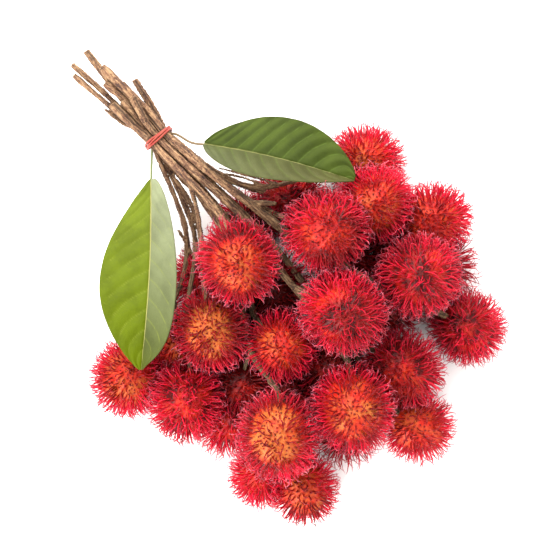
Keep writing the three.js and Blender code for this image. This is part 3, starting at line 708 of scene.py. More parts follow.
@dataclass
class SpinyShell:
    """A round shell of radius one whose faces are drawn out to straight spines, to be bent later."""

    cuts: int  # each edge of an icosahedron is cut this often, and a spine stands on each face
    root: float = 0.34  # the root's width, as a share of the face's
    thinning: float = 0.03  # how much narrower each level is, as a share of the root
    jitter: float = 0.26  # how far corners are moved, as a share of a face's side
    tilt: float = 0.37  # radians that the shell is turned about the X axis
    levels: int = 5
    height: float = 0.05  # of each level
    bare: float = 0.32  # radians around the stalk without spines
    most_apart: float = 0.3  # how far a corner may lie from its own spine's middle
    mesh: bpy.types.Mesh | None = None
    roots: np.ndarray = field(default_factory=lambda: np.empty((0, 3)))
    spine_of: np.ndarray = field(default_factory=lambda: np.empty(0, int))
    level_of: np.ndarray = field(default_factory=lambda: np.empty(0, int))

    def build(self) -> "SpinyShell":
        """Models a sphere of small faces, each inset to a root and drawn out level by level.

        Returns:
            The shell itself, now with its mesh.
        """
        deselect_all()
        bpy.ops.mesh.primitive_ico_sphere_add(subdivisions=1, radius=1.0)
        shell = bpy.context.object
        shell.name = f"spiny_shell_{self.cuts}"
        side = math.sqrt(16 * math.pi / math.sqrt(3) / (20 * (self.cuts + 1) ** 2))
        bpy.ops.object.mode_set(mode="EDIT")
        bpy.ops.mesh.select_all(action="SELECT")
        bpy.ops.transform.rotate(value=self.tilt, orient_axis="X", center_override=(0, 0, 0))
        bpy.ops.mesh.subdivide(number_cuts=self.cuts)
        bpy.ops.transform.tosphere(value=1.0)
        bpy.ops.transform.vertex_random(offset=side * self.jitter, uniform=1.0, seed=self.cuts)
        bpy.ops.transform.tosphere(value=1.0)
        bpy.ops.object.mode_set(mode="OBJECT")
        put_points(shell.data, unit(points_of(shell.data)))
        corners = len(shell.data.vertices)
        self.draw_spines(shell, side / (2 * math.sqrt(3)))
        self.mesh = shell.data
        bpy.data.objects.remove(shell)
        self.read_levels(corners)
        return self

    def draw_spines(self, shell: bpy.types.Object, inner: float) -> None:
        """Insets each face to a root and insets each root outwards, level by level.

        Args:
            shell: The bare sphere.
            inner: The radius of the circle inside a face.
        """
        bpy.ops.object.mode_set(mode="EDIT")
        bpy.ops.mesh.select_mode(type="FACE")
        bpy.ops.mesh.select_all(action="DESELECT")
        form = bmesh.from_edit_mesh(shell.data)
        roots = []
        for face in form.faces:
            middle = face.calc_center_median().normalized()
            face.select = middle.z < math.cos(self.bare)
            if face.select:
                roots.append(middle[:])
        self.roots = np.array(roots)
        bmesh.update_edit_mesh(shell.data)
        bpy.ops.mesh.inset(thickness=inner * (1 - self.root), use_individual=True)
        step = inner * self.root * self.thinning
        for _ in range(self.levels):
            bpy.ops.mesh.inset(thickness=step, depth=self.height, use_individual=True)
        bpy.ops.object.mode_set(mode="OBJECT")

    def read_levels(self, corners: int) -> None:
        """Notes each vertex's spine and its level on it, or -1 where it is bare skin.

        Each inset adds three vertices a spine, spine by spine, after all that were there before.

        Args:
            corners: How many vertices the bare sphere had.
        """
        points = points_of(self.mesh)
        order = np.arange(len(points)) - corners
        self.level_of = np.where(order < 0, -1, order // (3 * len(self.roots)))
        assert self.level_of.max() == self.levels, "an inset left a face out"
        self.spine_of = np.where(order < 0, 0, order % (3 * len(self.roots)) // 3)
        apart = np.linalg.norm(unit(points) - self.roots[self.spine_of], axis=1)[order >= 0]
        log.info("shell of %d spines, corners at most %.3f from their spine", len(self.roots), apart.max())
        assert apart.max() < self.most_apart, "a corner went to the wrong spine"


@dataclass
class Fruit:
    """One rambutan: a round body whose skin runs on into soft, hooked spines."""

    name: str
    look: Look
    body: Body
    shell: SpinyShell
    seed: int
    spine_length: float = 10.9 * MM
    length_range: tuple[float, float] = (0.82, 1.16)  # shares of the usual length
    levels: tuple[float, ...] = (0.0, 0.13, 0.36, 0.6, 0.82, 1.0)  # shares of the spine's length
    radii: tuple[float, ...] = (0.98, 0.56, 0.42, 0.35, 0.26, 0.06)  # mm, at each level
    girth_range: tuple[float, float] = (0.85, 1.15)  # shares of these radii
    girth: float = 0.9  # the usual share of them
    cheek_girth: float = 0.4  # how much more it is on the palest cheek
    root_hollow_shades: tuple[float, ...] = (0.1, 0.35, 0.1, 0.0, 0.0, 0.0)  # painted shade: how far each level is darkened, for the shade in the hollows among the roots
    bare_share: float = 0.36  # of the cheek's spines that are only bumps
    bump_length: float = 0.12  # of such a spine, as a share
    cheek_trim: float = 0.1  # how much shorter the cheek's other spines are, as a share
    tubercle: float = 0.3 * MM  # how far a root stands over the skin between the roots
    most_lean: float = 0.34  # radians
    lean_rate: float = 5.0  # how fast a spine comes to lean, over its length
    curl: tuple[float, float] = (2.0, 0.22)  # shape and scale of its spread among the spines, radians
    curl_power: float = 1.6  # above 1, a spine curls more towards its tip
    curl_spread: float = 0.9  # radians, between the way a spine leans and the way it curls
    hook: tuple[float, float] = (2.4, 0.42)  # the same, for the tip
    hook_from: float = 0.58  # share of the length where the hook starts
    hook_rate: float = 2.6  # how fast it grows from there, over the length
    side_hook: float = 1.6  # how strongly spines hook at the fruit's sides, as a share
    top_hook: float = 0.7  # how much less they do on top
    droop: float = 0.36  # how much less steeply a spine rises at its tip
    sag: float = 0.08  # how far its tip's way is drawn down
    gap: float = 0.45 * MM  # between a spine and another fruit's body
    own_gap: float = 0.5 * MM  # between a spine and its own fruit's body
    floor_gap: float = 0.55 * MM
    stiffness: float = 0.12  # of a bent spine, for its own way
    search: float = 6.0 * MM  # how far from a spine a stem, a leaf or the band is looked for
    turn_guard: float = 1.05  # above 1, so that a spine bent right back is still turned
    top: tuple[float, float] = (0.3, 0.8)  # how far up a root looks where the top begins, and is full
    skin_tint: float = 0.6  # brightness of the skin between the spines
    top_tip_highlight_loss: float = 0.33  # how much of their pale tips, partly a painted highlight that belongs at the fruit's sides, the spines on top lack
    patchiness: float = 0.3  # of the ripeness
    patches: float = 60.0  # a metre
    cheek_wander: float = 0.06  # of the cheek's middle
    cheek_rim: float = 0.5  # how softly the cheek ends
    paint_seed: int = 500  # added to the fruit's seed for its spines' girth and brightness
    cheek_seed: int = 900  # the same, for its cheek
    path: np.ndarray = field(default_factory=lambda: np.empty(0))  # spine, level, xyz
    normal: np.ndarray = field(default_factory=lambda: np.empty(0))  # outwards at each spine
    lengths: np.ndarray = field(default_factory=lambda: np.empty(0))  # of each spine's parts
    cheek: np.ndarray = field(default_factory=lambda: np.empty(0))  # how far each spine is on the cheek
    rest: np.ndarray = field(default_factory=lambda: np.empty(0))  # each part's way, if nothing is met

    def grow(self) -> None:
        """Lays out each spine's line: outwards, then curling over and hooked at its tip."""
        random = np.random.default_rng(self.seed)
        roots = self.shell.roots
        count = len(roots)
        self.normal = self.body.normals(roots)
        spin = random.uniform(0, 2 * math.pi, count)
        helper = unit(np.cross(self.normal, UP + 0.01))
        other = np.cross(self.normal, helper)
        lean_way = helper * np.cos(spin)[:, None] + other * np.sin(spin)[:, None]
        turn = spin + random.normal(0, self.curl_spread, count)
        curl_way = helper * np.cos(turn)[:, None] + other * np.sin(turn)[:, None]
        lean = random.uniform(0.0, self.most_lean, count)
        curl = random.gamma(*self.curl, count)
        hook = random.gamma(*self.hook, count)
        hook = hook * (self.side_hook - self.top_hook * np.clip(self.normal[:, 2], 0, 1))
        size = self.spine_length * random.uniform(*self.length_range, count)
        self.cheek = self.cheek_at(self.normal)
        stunted = random.uniform(0, 1, count) < self.bare_share * self.cheek
        size = size * np.where(stunted, self.bump_length, 1 - self.cheek_trim * self.cheek)
        self.lengths = size[:, None] * np.diff(self.levels)[None, :]
        # Each part's way is the root's, leaning, then turned by the curl and, near the tip, the hook.
        point = self.body.world(roots) + self.normal * self.tubercle
        path, rest = [point], []
        for k, step in enumerate(self.lengths.T):
            share = (self.levels[k] + self.levels[k + 1]) / 2
            hooked = max(0.0, share - self.hook_from)
            bend = curl * share**self.curl_power + hook * hooked * self.hook_rate
            way = self.normal + lean_way * np.tan(lean)[:, None] * min(1.0, share * self.lean_rate)
            way = unit(way) * np.cos(bend)[:, None] + curl_way * np.sin(bend)[:, None]
            rise = np.where(way[:, 2:] > 0, (1.0, 1.0, 1 - self.droop * share), (1.0, 1.0, 1.0))
            way = unit(way * rise - UP * self.sag * share)
            rest.append(way)
            point = point + way * step[:, None]
            path.append(point)
        self.path = np.stack(path, axis=1)
        self.rest = np.stack(rest, axis=1)

    def relax(self, neighbours: list[Body]) -> None:
        """Makes one pass that keeps the spines out of the bodies and off the surface, at their lengths.

        Args:
            neighbours: The bodies of the fruits nearby.
        """
        free = self.path[:, 1:]
        for body in neighbours:
            free = body.push_out(free, self.gap)
        free = self.body.push_out(free, self.own_gap)
        free[..., 2] = np.maximum(free[..., 2], self.floor_gap)
        self.path[:, 1:] = free
        for k in range(1, self.path.shape[1]):
            way = self.path[:, k] - self.path[:, k - 1]
            way = unit(unit(way) + self.stiffness * self.rest[:, k - 1])
            self.path[:, k] = self.path[:, k - 1] + way * self.lengths[:, k - 1][:, None]

    def part_from(self, tree: BVHTree, clearance: float) -> None:
        """Moves spine points that are in or near a stem, a leaf or the band out of it.

        Args:
            tree: The surfaces of the stems, leaves and band.
            clearance: How near a spine's middle line may be, in metres.
        """
        for spine in self.path:
            for k in range(1, len(spine)):
                spot, normal, _, distance = tree.find_nearest(Vector(spine[k]), self.search)
                if spot is None:
                    continue
                away = Vector(spine[k]) - spot
                inside = away.dot(normal) < 0
                if inside or distance < clearance:
                    spine[k] = spot + (normal if inside or distance < 1e-7 else away.normalized()) * clearance

    def build(self) -> bpy.types.Object:
        """Bends a copy of the shell along the spines' lines and paints it.

        Returns:
            The fruit, not yet dressed.
        """
        mesh = self.shell.mesh.copy()
        mesh.name = self.name + "_rind"
        random = np.random.default_rng(self.seed + self.paint_seed)
        thick = random.uniform(*self.girth_range, len(self.shell.roots))
        thick = thick * (self.girth + self.cheek_girth * self.cheek)
        points = self.bent_points(points_of(mesh), thick)
        tint = random.uniform(0, 1, len(self.shell.roots))
        self.paint_rind(mesh, points, tint)
        put_points(mesh, points)
        piece = bpy.data.objects.new(self.name + "_piece", mesh)
        bpy.context.collection.objects.link(piece)
        return piece

    def bent_points(self, proto: np.ndarray, thick: np.ndarray) -> np.ndarray:
        """Bends the shell's straight spines along their lines.

        Args:
            proto: The shell's points.
            thick: Each spine's thickness, as a share of the usual one.

        Returns:
            The fruit's points.
        """
        spine, level = self.shell.spine_of, self.shell.level_of
        on_spine = level >= 0
        level = level.clip(0)
        placed = self.body.world(proto)
        centres = np.zeros((len(self.shell.roots), len(self.levels), 3))
        counts = np.zeros((len(self.shell.roots), len(self.levels), 1))
        np.add.at(centres, (spine[on_spine], level[on_spine]), placed[on_spine])
        np.add.at(counts, (spine[on_spine], level[on_spine]), 1.0)
        centres /= np.maximum(counts, 1.0)
        normal = self.normal[spine]
        steps = unit(np.diff(self.path, axis=1))
        between = unit(steps[:, 1:] + steps[:, :-1])
        way = np.concatenate([self.normal[:, None], between, steps[:, -1:]], axis=1)[spine, level]
        # Each ring of three corners is turned from its straight spine's way to the bent one's.
        offset = placed - centres[spine, level]
        offset = unit(offset - normal * (offset * normal).sum(1, keepdims=True))
        lift = (offset * way).sum(1, keepdims=True)
        lift = lift / (self.turn_guard + (normal * way).sum(1, keepdims=True))
        turned = unit(offset - lift * (normal + way))
        radius = (np.array(self.radii)[level] * thick[spine] * MM)[:, None]
        bent = self.path[spine, level] + turned * radius
        points = np.where(on_spine[:, None], bent, self.body.world(unit(proto)))
        points[:, 2] = np.maximum(points[:, 2], LEAST_HEIGHT)
        return points

    def paint_rind(self, mesh: bpy.types.Mesh, points: np.ndarray, tint: np.ndarray) -> None:
        """Stores what the rind's finish reads.

        Args:
            mesh: The fruit's mesh, its points still those of the shell.
            points: The fruit's points.
            tint: Each spine's brightness, from 0 to 1.
        """
        spine, level = self.shell.spine_of, self.shell.level_of
        on_spine = level >= 0
        over_root = level > 0
        level = level.clip(0)
        ripe = self.ripeness_at(self.body.world(self.shell.roots), self.normal)[spine]
        skin_ripe = self.ripeness_at(points, self.body.normals(unit(points_of(mesh))))
        low, high = self.top
        on_top = np.clip((self.normal[spine, 2] - low) / (high - low), 0, 1)
        # painted highlight: spines on top stop short of the pale tip colour, those at the sides reach it
        reach = np.array(self.levels)[level] * (1 - self.top_tip_highlight_loss * on_top)
        paint(mesh, "cheek", self.cheek[spine])
        paint(mesh, "reach", np.where(on_spine, reach, 0.0))
        paint(mesh, "tint", np.where(over_root, tint[spine], self.skin_tint))
        # painted shade: how far each level near the root is darkened
        paint(mesh, "root_hollow_shade", np.where(on_spine, np.array(self.root_hollow_shades)[level], 0.0))
        paint(mesh, "ripe", np.where(over_root, ripe, skin_ripe))

    def cheek_at(self, normals: np.ndarray) -> np.ndarray:
        """How far places are on the palest cheek.

        Args:
            normals: The body's outward direction at each.

        Returns:
            A number from 0 to 1 for each place.
        """
        random = np.random.default_rng(self.seed + self.cheek_seed)
        cheek = unit(np.array((*self.look.lean, 1.0)) + random.normal(0, self.cheek_wander, 3))
        away = np.clip((self.look.narrow - normals @ cheek) / self.cheek_rim, 0, 1)
        return 1 - away * away * (3 - 2 * away)

    def ripeness_at(self, points: np.ndarray, normals: np.ndarray) -> np.ndarray:
        """How ripe places are: the least on one cheek, with soft patches all over.

        Args:
            points: The places.
            normals: The body's outward direction at each.

        Returns:
            A number from 0 to 1 for each place.
        """
        pale, full = self.look.ripeness.value
        shift = Vector((self.seed * 1.7, self.seed * 0.9, 0))
        patch = np.array([noise.noise(Vector(p) * self.patches + shift) for p in points])
        ripe = full + (pale - full) * self.cheek_at(normals) + self.patchiness * patch
        return ripe.clip(0.0, 1.0)


@dataclass
class FruitHeap:
    """All the fruits of the bunch, lying on and against each other."""

    looks: dict[int, Look] = field(
        default_factory=lambda: {
            1: Look(Ripeness.BRIGHT, (0.08, -0.06), 1.0),
            2: Look(Ripeness.BRIGHT, (0.13, -0.24)),
            3: Look(Ripeness.DARK, (0.36, -0.16)),
            4: Look(Ripeness.BRIGHT, (-0.05, -0.22), 0.95),
            5: Look(Ripeness.DUSKY, (0.04, -0.5), 1.3),
            6: Look(Ripeness.DARK, narrow=1.6),
            7: Look(Ripeness.BLUSHED, (0.18, -0.02), 0.76),
            8: Look(Ripeness.TURNING, (-0.14, -0.01), 0.64),
            9: Look(Ripeness.BRIGHT, (-0.1, -0.11)),
            10: Look(Ripeness.DARK, (0.5, 0.1), 1.45),
            11: Look(Ripeness.DARK, (0.18, -0.41), 1.0),
            12: Look(Ripeness.BLUSHED, (0.04, -0.03), 0.78),
            13: Look(Ripeness.TURNING, (-0.11, 0.03), 0.76),
            # painted light: the fresh look brightens this fruit in the shade of fruit_13
            14: Look(Ripeness.FRESH, (0.38, -0.32)),
            15: Look(Ripeness.BRIGHT),
            16: Look(Ripeness.RIPE, narrow=1.3),
            # painted light: these two lie in the shade of leaf_2
            17: Look(Ripeness.FRESH, (-0.19, -0.23), 0.95),
            18: Look(Ripeness.FRESH, (0.15, -0.13), 1.1),
            19: Look(Ripeness.RIPE, narrow=1.3),
            20: Look(Ripeness.BRIGHT, narrow=1.6),
            21: Look(Ripeness.RIPE, narrow=1.3),
            29: Look(Ripeness.RIPE, narrow=1.6),
        }
    )
    upper: int = 21  # fruits with higher numbers lie underneath, with fewer and longer spines
    large: float = 15.5 * MM  # a body whose half width is over this gets the densest shell
    passes: int = 18
    clear_every: int = 6  # passes between two that part the spines from the wood and leaves
    clearance: float = 1.0 * MM
    coat: float = 13.2 * MM  # fruits with less than this between their bodies are neighbours
    lower_spines: float = 15.0 * MM

    def build(self, frame: dict[str, Any], material: bpy.types.Material) -> list[bpy.types.Object]:
        """Grows the fruits, settles their spines and dresses them.

        Args:
            frame: The loaded frame.
            material: The rind's finish.

        Returns:
            The finished fruits.
        """
        nodes = frame["nodes"]
        names = sorted(name for name in nodes if name.startswith("fruit_"))
        hard = [nodes[name] for name in sorted(nodes) if name.startswith(("stem_", "leaf_", "rubber"))]
        stalks = np.concatenate([points_of(node.data) for node in hard if node.name.startswith("stem_")])
        shells = {density: SpinyShell(density.value).build() for density in Density}
        fruits = []
        for name in names:
            number = int(name[-2:])
            body = fitted_body(nodes[name], stalks)
            shell = shells[self.density_of(number, body)]
            fruit = Fruit(name, self.looks.get(number, Look()), body, shell, seed=number)
            if number > self.upper:
                fruit.spine_length = self.lower_spines
            fruits.append(fruit)
        self.settle(fruits, hard)
        pieces = []
        for fruit in fruits:
            piece = fruit.build()
            finish_piece(piece, fruit.name, material)
            pieces.append(piece)
        for shell in shells.values():
            bpy.data.meshes.remove(shell.mesh)
        return pieces

    def density_of(self, number: int, body: Body) -> Density:
        """Chooses how densely a fruit's spines stand.

        Args:
            number: The fruit's number.
            body: Its body.

        Returns:
            The density of its shell.
        """
        if number > self.upper:
            return Density.SPARSE
        return Density.DENSE if body.semi[0] > self.large else Density.USUAL

    def settle(self, fruits: list[Fruit], hard: list[bpy.types.Object]) -> None:
        """Bends the spines clear of everything they meet.

        Args:
            fruits: All the fruits.
            hard: The stems, leaves and band of the frame.
        """
        tree = self.tree_of(hard)
        for fruit in fruits:
            fruit.grow()
        for turn in range(self.passes):
            for fruit in fruits:
                near = [
                    other.body
                    for other in fruits
                    if other is not fruit
                    and np.linalg.norm(other.body.centre - fruit.body.centre)
                    < other.body.semi[2] + fruit.body.semi[2] + self.coat
                ]
                fruit.relax(near)
            if (turn + 1) % self.clear_every == 0:
                for fruit in fruits:
                    fruit.part_from(tree, self.clearance)

    @staticmethod
    def tree_of(hard: list[bpy.types.Object]) -> BVHTree:
        """Gathers surfaces to search for their nearest points.

        Args:
            hard: The stems, leaves and band of the frame.

        Returns:
            A search tree over their faces.
        """
        points: list[Any] = []
        faces: list[Any] = []
        for node in hard:
            base = len(points)
            points += [v.co.copy() for v in node.data.vertices]
            faces += [[base + i for i in face.vertices] for face in node.data.polygons]
        return BVHTree.FromPolygons(points, faces)


# ------------------------------------------------------------------ stems


@dataclass
class Stem:
    """A woody stem with its twigs, cut at one end."""

    name: str
    voxel: float = 0.62 * MM
    smoothing: int = 3
    ripple: float = 0.6 * MM  # height of the bark's unevenness
    wrinkles: float = 24.0  # how fast they change along the stem, a metre
    wrinkles_round: float = 3.0  # how fast they change round it
    wrinkle_share: float = 1.3  # of the ripple's height
    grain: float = 700.0  # a metre
    grain_share: float = 0.4
    knots: float = 95.0  # a metre along the stem
    knot_share: float = 2.4
    least_knot: float = 0.28  # how strong a knot has to be to show
    crease_shade_rate: float = 1.9  # painted shade: how fast hollows darken, over the ripple's height
    least_crease_shade: float = 0.1  # how much of that painted shade is left off, so that shallow ones stay unshaded
    cut_squareness: float = 0.55  # how squarely a cut face's points look along the wood
    cut_sharpness: float = 4.0  # of the cut face's rim
    cut_end: float = 1.5 * MM  # along the wood, how much of the end counts as its middle
    behind_cut: tuple[float, float] = (4 * MM, 7 * MM)  # along the wood, the stretch behind it
    cut_depth: float = 1.54 * MM  # how far along the wood a cut face may reach
    cut_reach: float = 0.6 * MM  # behind the stem's very end, where its length is measured from

    def build(self, node: bpy.types.Object) -> bpy.types.Object:
        """Rounds a copy of the CAD stem, roughens its bark and paints it.

        Args:
            node: The CAD stem.

        Returns:
            The finished stem, not yet dressed.
        """
        piece = merged_copy(node, self.name + "_piece")
        remesh = piece.modifiers.new("round", "REMESH")
        remesh.mode = "VOXEL"
        remesh.voxel_size = self.voxel
        bpy.ops.object.modifier_apply(modifier=remesh.name)
        soften = piece.modifiers.new("soften", "SMOOTH")
        soften.factor = 0.5
        soften.iterations = self.smoothing
        bpy.ops.object.modifier_apply(modifier=soften.name)
        mesh = piece.data
        points = points_of(mesh)
        along = self.distance_from_cut(mesh, points)
        normals = np.empty(len(points) * 3)
        mesh.vertices.foreach_get("normal", normals)
        normals = normals.reshape(-1, 3)
        relief = self.relief(points, normals, along)
        facing = normals @ self.cut_way(points, along)
        cut = np.clip((facing - self.cut_squareness) * self.cut_sharpness, 0, 1)
        cut = cut * (along < self.cut_depth)
        put_points(mesh, points + normals * (relief * (1 - cut))[:, None])
        paint(mesh, "along", along)
        paint(mesh, "cut", cut)
        layer = mesh.attributes.new("around", "FLOAT_VECTOR", "POINT")
        layer.data.foreach_set("vector", normals.astype(np.float32).ravel())
        # painted shade: deeper hollows of the relief are darkened more
        crease_shade = -relief / self.ripple * self.crease_shade_rate - self.least_crease_shade
        paint(mesh, "crease_shade", np.clip(crease_shade, 0, 1))
        return piece

    def cut_way(self, points: np.ndarray, along: np.ndarray) -> np.ndarray:
        """Finds which way the cut end faces.

        Args:
            points: The stem's points.
            along: How far along the wood each is from the cut end.

        Returns:
            The outward direction of the cut end.
        """
        near, far = self.behind_cut
        end = points[along < self.cut_end].mean(axis=0)
        inner = points[(along > near) & (along < far)].mean(axis=0)
        return unit(end - inner)

    def distance_from_cut(self, mesh: bpy.types.Mesh, points: np.ndarray) -> np.ndarray:
        """Measures along the wood, by the shortest way over the mesh's edges.

        Args:
            mesh: The stem's mesh.
            points: Its points.

        Returns:
            Each point's distance from the cut end, in metres.
        """
        edges = np.empty(len(mesh.edges) * 2, dtype=np.int64)
        mesh.edges.foreach_get("vertices", edges)
        edges = edges.reshape(-1, 2)
        spans = np.linalg.norm(points[edges[:, 0]] - points[edges[:, 1]], axis=1)
        links: list[list[tuple[int, float]]] = [[] for _ in points]
        for (a, b), span in zip(edges.tolist(), spans.tolist()):
            links[a].append((b, span))
            links[b].append((a, span))
        reached = [math.inf] * len(points)
        at_end = points[:, 0] < points[:, 0].min() + self.cut_reach
        queue = [(0.0, int(i)) for i in np.nonzero(at_end)[0]]
        for _, i in queue:
            reached[i] = 0.0
        heapq.heapify(queue)
        while queue:
            distance, i = heapq.heappop(queue)
            if distance > reached[i]:
                continue
            for j, span in links[i]:
                if distance + span < reached[j]:
                    reached[j] = distance + span
                    heapq.heappush(queue, (distance + span, j))
        result = np.array(reached)
        return np.where(np.isfinite(result), result, 0.0)

    def relief(self, points: np.ndarray, normals: np.ndarray, along: np.ndarray) -> np.ndarray:
        """Draws lengthwise wrinkles round the stem, and a low swelling here and there.

        Args:
            points: The stem's points.
            normals: The outward direction at each.
            along: How far along the wood each is from the cut end.

        Returns:
            How far to move each point outwards, in metres.
        """
        seed = sum(map(ord, self.name))
        wrinkle = [
            noise.noise(Vector((n[0] + seed, n[1], n[2] + s * self.wrinkles)))
            for n, s in zip(normals * self.wrinkles_round, along)
        ]
        grain = [noise.noise(Vector(p) * self.grain) for p in points]
        knots = np.array([noise.noise(Vector((seed * 3.1, 0, s * self.knots))) for s in along])
        swell = np.clip(knots - self.least_knot, 0, 1) * self.knot_share
        rough = np.array(wrinkle) * self.wrinkle_share + self.grain_share * np.array(grain)
        return self.ripple * (rough + swell)


# ------------------------------------------------------------------ leaves


@dataclass(frozen=True)
class HalfBlade:
    """One half of a leaf's blade."""

    width: float  # mm
    fullest: float  # where it is widest, as a share of its length
    pointed: float  # the higher, the more slender its ends
    fold: float  # degrees up from level
    drawn: float = 0.0  # how much more slender it is at its tip

    def width_at(self, share: np.ndarray) -> np.ndarray:
        """Works out how wide it is.

        Args:
            share: Places along it, from 0 to 1.

        Returns:
            Its width at each place, in mm.
        """
        power = math.log(0.5) / math.log(self.fullest)
        slender = self.pointed + self.drawn * share**12
        return self.width * np.sin(math.pi * share**power).clip(0) ** slender


@dataclass
class Leaf:
    """A leaf: a blade folded up about its midrib, on a thin stalk.

    Lengths are in mm, and places are given from the foot of the tie.
    """

    name: str
    base: tuple[float, float, float]
    tip: tuple[float, float, float]
    bow: float  # how far its midrib curves to the left
    arch: float  # how far its midrib curves upwards
    ripple: float  # height of its edge's waves
    halves: tuple[HalfBlade, HalfBlade]  # the left one first, looking from base to tip
    petiole: tuple[tuple[float, float, float], ...]
    finish: LeafFinish
    ripples: float = 22.0  # radians of the edge's waves along the blade
    veins: int = 9
    first_vein: float = 0.03  # where they are counted from, as a share of the length
    plain_base: float = 0.02  # the share of the length below the side veins
    vein_onset: float = 20.0  # how fast they come up from there, over the length
    vein_fade: float = 6.0  # how fast they fade out at the edge, over the width
    vein_end: float = 1.02  # where they have faded, as a share of the width
    slant: float = 0.13  # how much nearer the tip a side vein is at the edge, as a share of the length
    sweep: float = 0.07  # the same, for the part that curls forwards near the edge
    sweep_power: float = 2.5  # the higher, the nearer the edge it starts
    stagger: float = 0.42  # between the right half's veins and the left half's, as a share of their gap
    vein_width: float = 0.42  # half of it, at the midrib
    vein_taper: float = 0.2  # how much narrower a side vein is at the edge
    vein_groove: float = 0.3
    quilt: float = 0.26  # how far the blade bulges between its side veins
    quilt_start: float = 4.0  # from the midrib to where the bulges are full
    quilt_end: int = 6  # the higher, the nearer the edge they flatten
    vein_shade_bands: tuple[float, float] = (0.5, 0.2)  # strength of the painted light and shade bands beside the side veins, left and right
    vein_shade_start: float = 5.0  # from the midrib to where they are full
    midrib_groove: float = 0.45
    groove_width: float = 0.9  # half of it
    midrib_width: float = 0.62  # half of it, at the base
    midrib_taper: float = 0.36  # how much narrower the midrib is at the tip
    rows: int = 120
    columns: int = 28  # on each side of the midrib
    crowding: float = 1.12  # above 1, the columns stand closer at the midrib
    blunt: float = 0.006  # how much of each end is left off, as a share of the length
    thickness: float = 0.7
    petiole_radius: float = 0.75
    joint: tuple[float, float] = (2.0, 10.0)  # past the base, where the stalk takes the midrib's colour

    def frame(self) -> tuple[np.ndarray, np.ndarray, float]:
        """Sets up the blade's own frame: along it, to its left, and upwards.

        Returns:
            The blade's base, its axes as columns, and its length.
        """
        base, tip = np.array(self.base) + BUNCH_SHIFT, np.array(self.tip) + BUNCH_SHIFT
        along = unit(tip - base)
        left = unit(np.cross(UP, along))
        axes = np.stack([along, left, np.cross(along, left)], axis=1)
        return base, axes, float(np.linalg.norm(tip - base))

    def width_at(self, share: np.ndarray, out: np.ndarray) -> np.ndarray:
        """How far places are from the midrib."""
        left, right = (half.width_at(share) for half in self.halves)
        return np.where(out > 0, left, right) * np.abs(out)

    def blade_points(self, share: np.ndarray, out: np.ndarray) -> np.ndarray:
        """Points of the blade's middle sheet.

        Args:
            share: Places along the blade, from 0 to 1.
            out: Places across it, from -1 to 1, positive to the left.

        Returns:
            The points, in mm.
        """
        base, axes, length = self.frame()
        width = self.width_at(share, out)
        fold = np.radians(np.where(out > 0, self.halves[0].fold, self.halves[1].fold))
        bend = np.sin(math.pi * share)
        vein, _, phase = self.vein_mask(share, out)
        wave = self.ripple * np.sin(self.ripples * share) * out**2
        rise = width * np.sin(fold) + self.arch * bend + wave
        bulge = self.quilt * np.cos(2 * math.pi * phase) * np.clip(width / self.quilt_start, 0, 1)
        bulge = bulge * (1 - out**self.quilt_end)
        groove = self.midrib_groove * np.exp(-((width / self.groove_width) ** 2))
        pillow = -self.vein_groove * vein - bulge - groove
        side = self.bow * bend + np.sign(out) * width * np.cos(fold)
        local = np.stack([length * share, side, rise + pillow], axis=-1)
        return base + local @ axes.T

    def vein_mask(
        self, share: np.ndarray, out: np.ndarray
    ) -> tuple[np.ndarray, np.ndarray, np.ndarray]:
        """Draws the side veins, which run outwards and forwards from the midrib.

        Args:
            share: Places along the blade, from 0 to 1.
            out: Places across it, from -1 to 1, positive to the left.

        Returns:
            How strongly each place lies on a vein, how far it is from the midrib in mm, and its
            place among the veins, which is a whole number on a vein.
        """
        width = self.width_at(share, out)
        reach = np.abs(out)
        start = share - self.slant * reach - self.sweep * reach**self.sweep_power
        stagger = np.where(out > 0, 0.0, self.stagger)
        phase = (start - self.first_vein) * (self.veins + 1) + stagger
        gap = np.abs(phase - np.rint(phase)) / (self.veins + 1)
        _, _, length = self.frame()
        line = np.exp(-((gap * length / (self.vein_width - self.vein_taper * reach)) ** 2))
        onset = np.clip((start - self.plain_base) * self.vein_onset, 0, 1)
        fade = np.clip((self.vein_end - reach) * self.vein_fade, 0, 1)
        return line * (onset * fade), width, phase

    def build(self) -> bpy.types.Object:
        """Models the blade from a grid, gives it its thickness and joins its stalk.

        Returns:
            The leaf, not yet dressed.
        """
        deselect_all()
        bpy.ops.mesh.primitive_grid_add(x_subdivisions=self.rows, y_subdivisions=2 * self.columns, size=2)
        piece = bpy.context.object
        piece.name = self.name + "_piece"
        mesh = piece.data
        grid = points_of(mesh)
        share = self.blunt + (1 - 2 * self.blunt) * (grid[:, 0] + 1) / 2
        out = np.sign(grid[:, 1]) * np.abs(grid[:, 1]) ** self.crowding
        points = self.blade_points(share, out)
        vein, width, phase = self.vein_mask(share, out)
        narrow = self.midrib_width - self.midrib_taper * share
        put_points(mesh, points * MM)
        paint(mesh, "vein", vein)
        # painted light and shade: each side vein's band is lighter on one side and darker on the other
        full = np.clip(width / self.vein_shade_start, 0, 1)
        swell = np.sin(2 * math.pi * phase) * full * np.where(out > 0, *self.vein_shade_bands)
        paint(mesh, "wave", 0.5 - swell)
        paint(mesh, "midrib", np.exp(-((width / narrow) ** 4)))
        paint(mesh, "stalk", np.zeros(len(points)))
        paint(mesh, "side", (out > 0).astype(float))
        paint(mesh, "share", share)
        choose(piece)
        solid = piece.modifiers.new("thickness", "SOLIDIFY")
        solid.thickness = self.thickness * MM
        solid.offset = 0.0
        bpy.ops.object.modifier_apply(modifier=solid.name)
        stalk = self.build_petiole()
        choose(piece)
        stalk.select_set(True)
        bpy.ops.object.join()
        return piece

    def build_petiole(self) -> bpy.types.Object:
        """Models a thin stalk that runs on under the midrib.

        Returns:
            The stalk, painted as the blade is.
        """
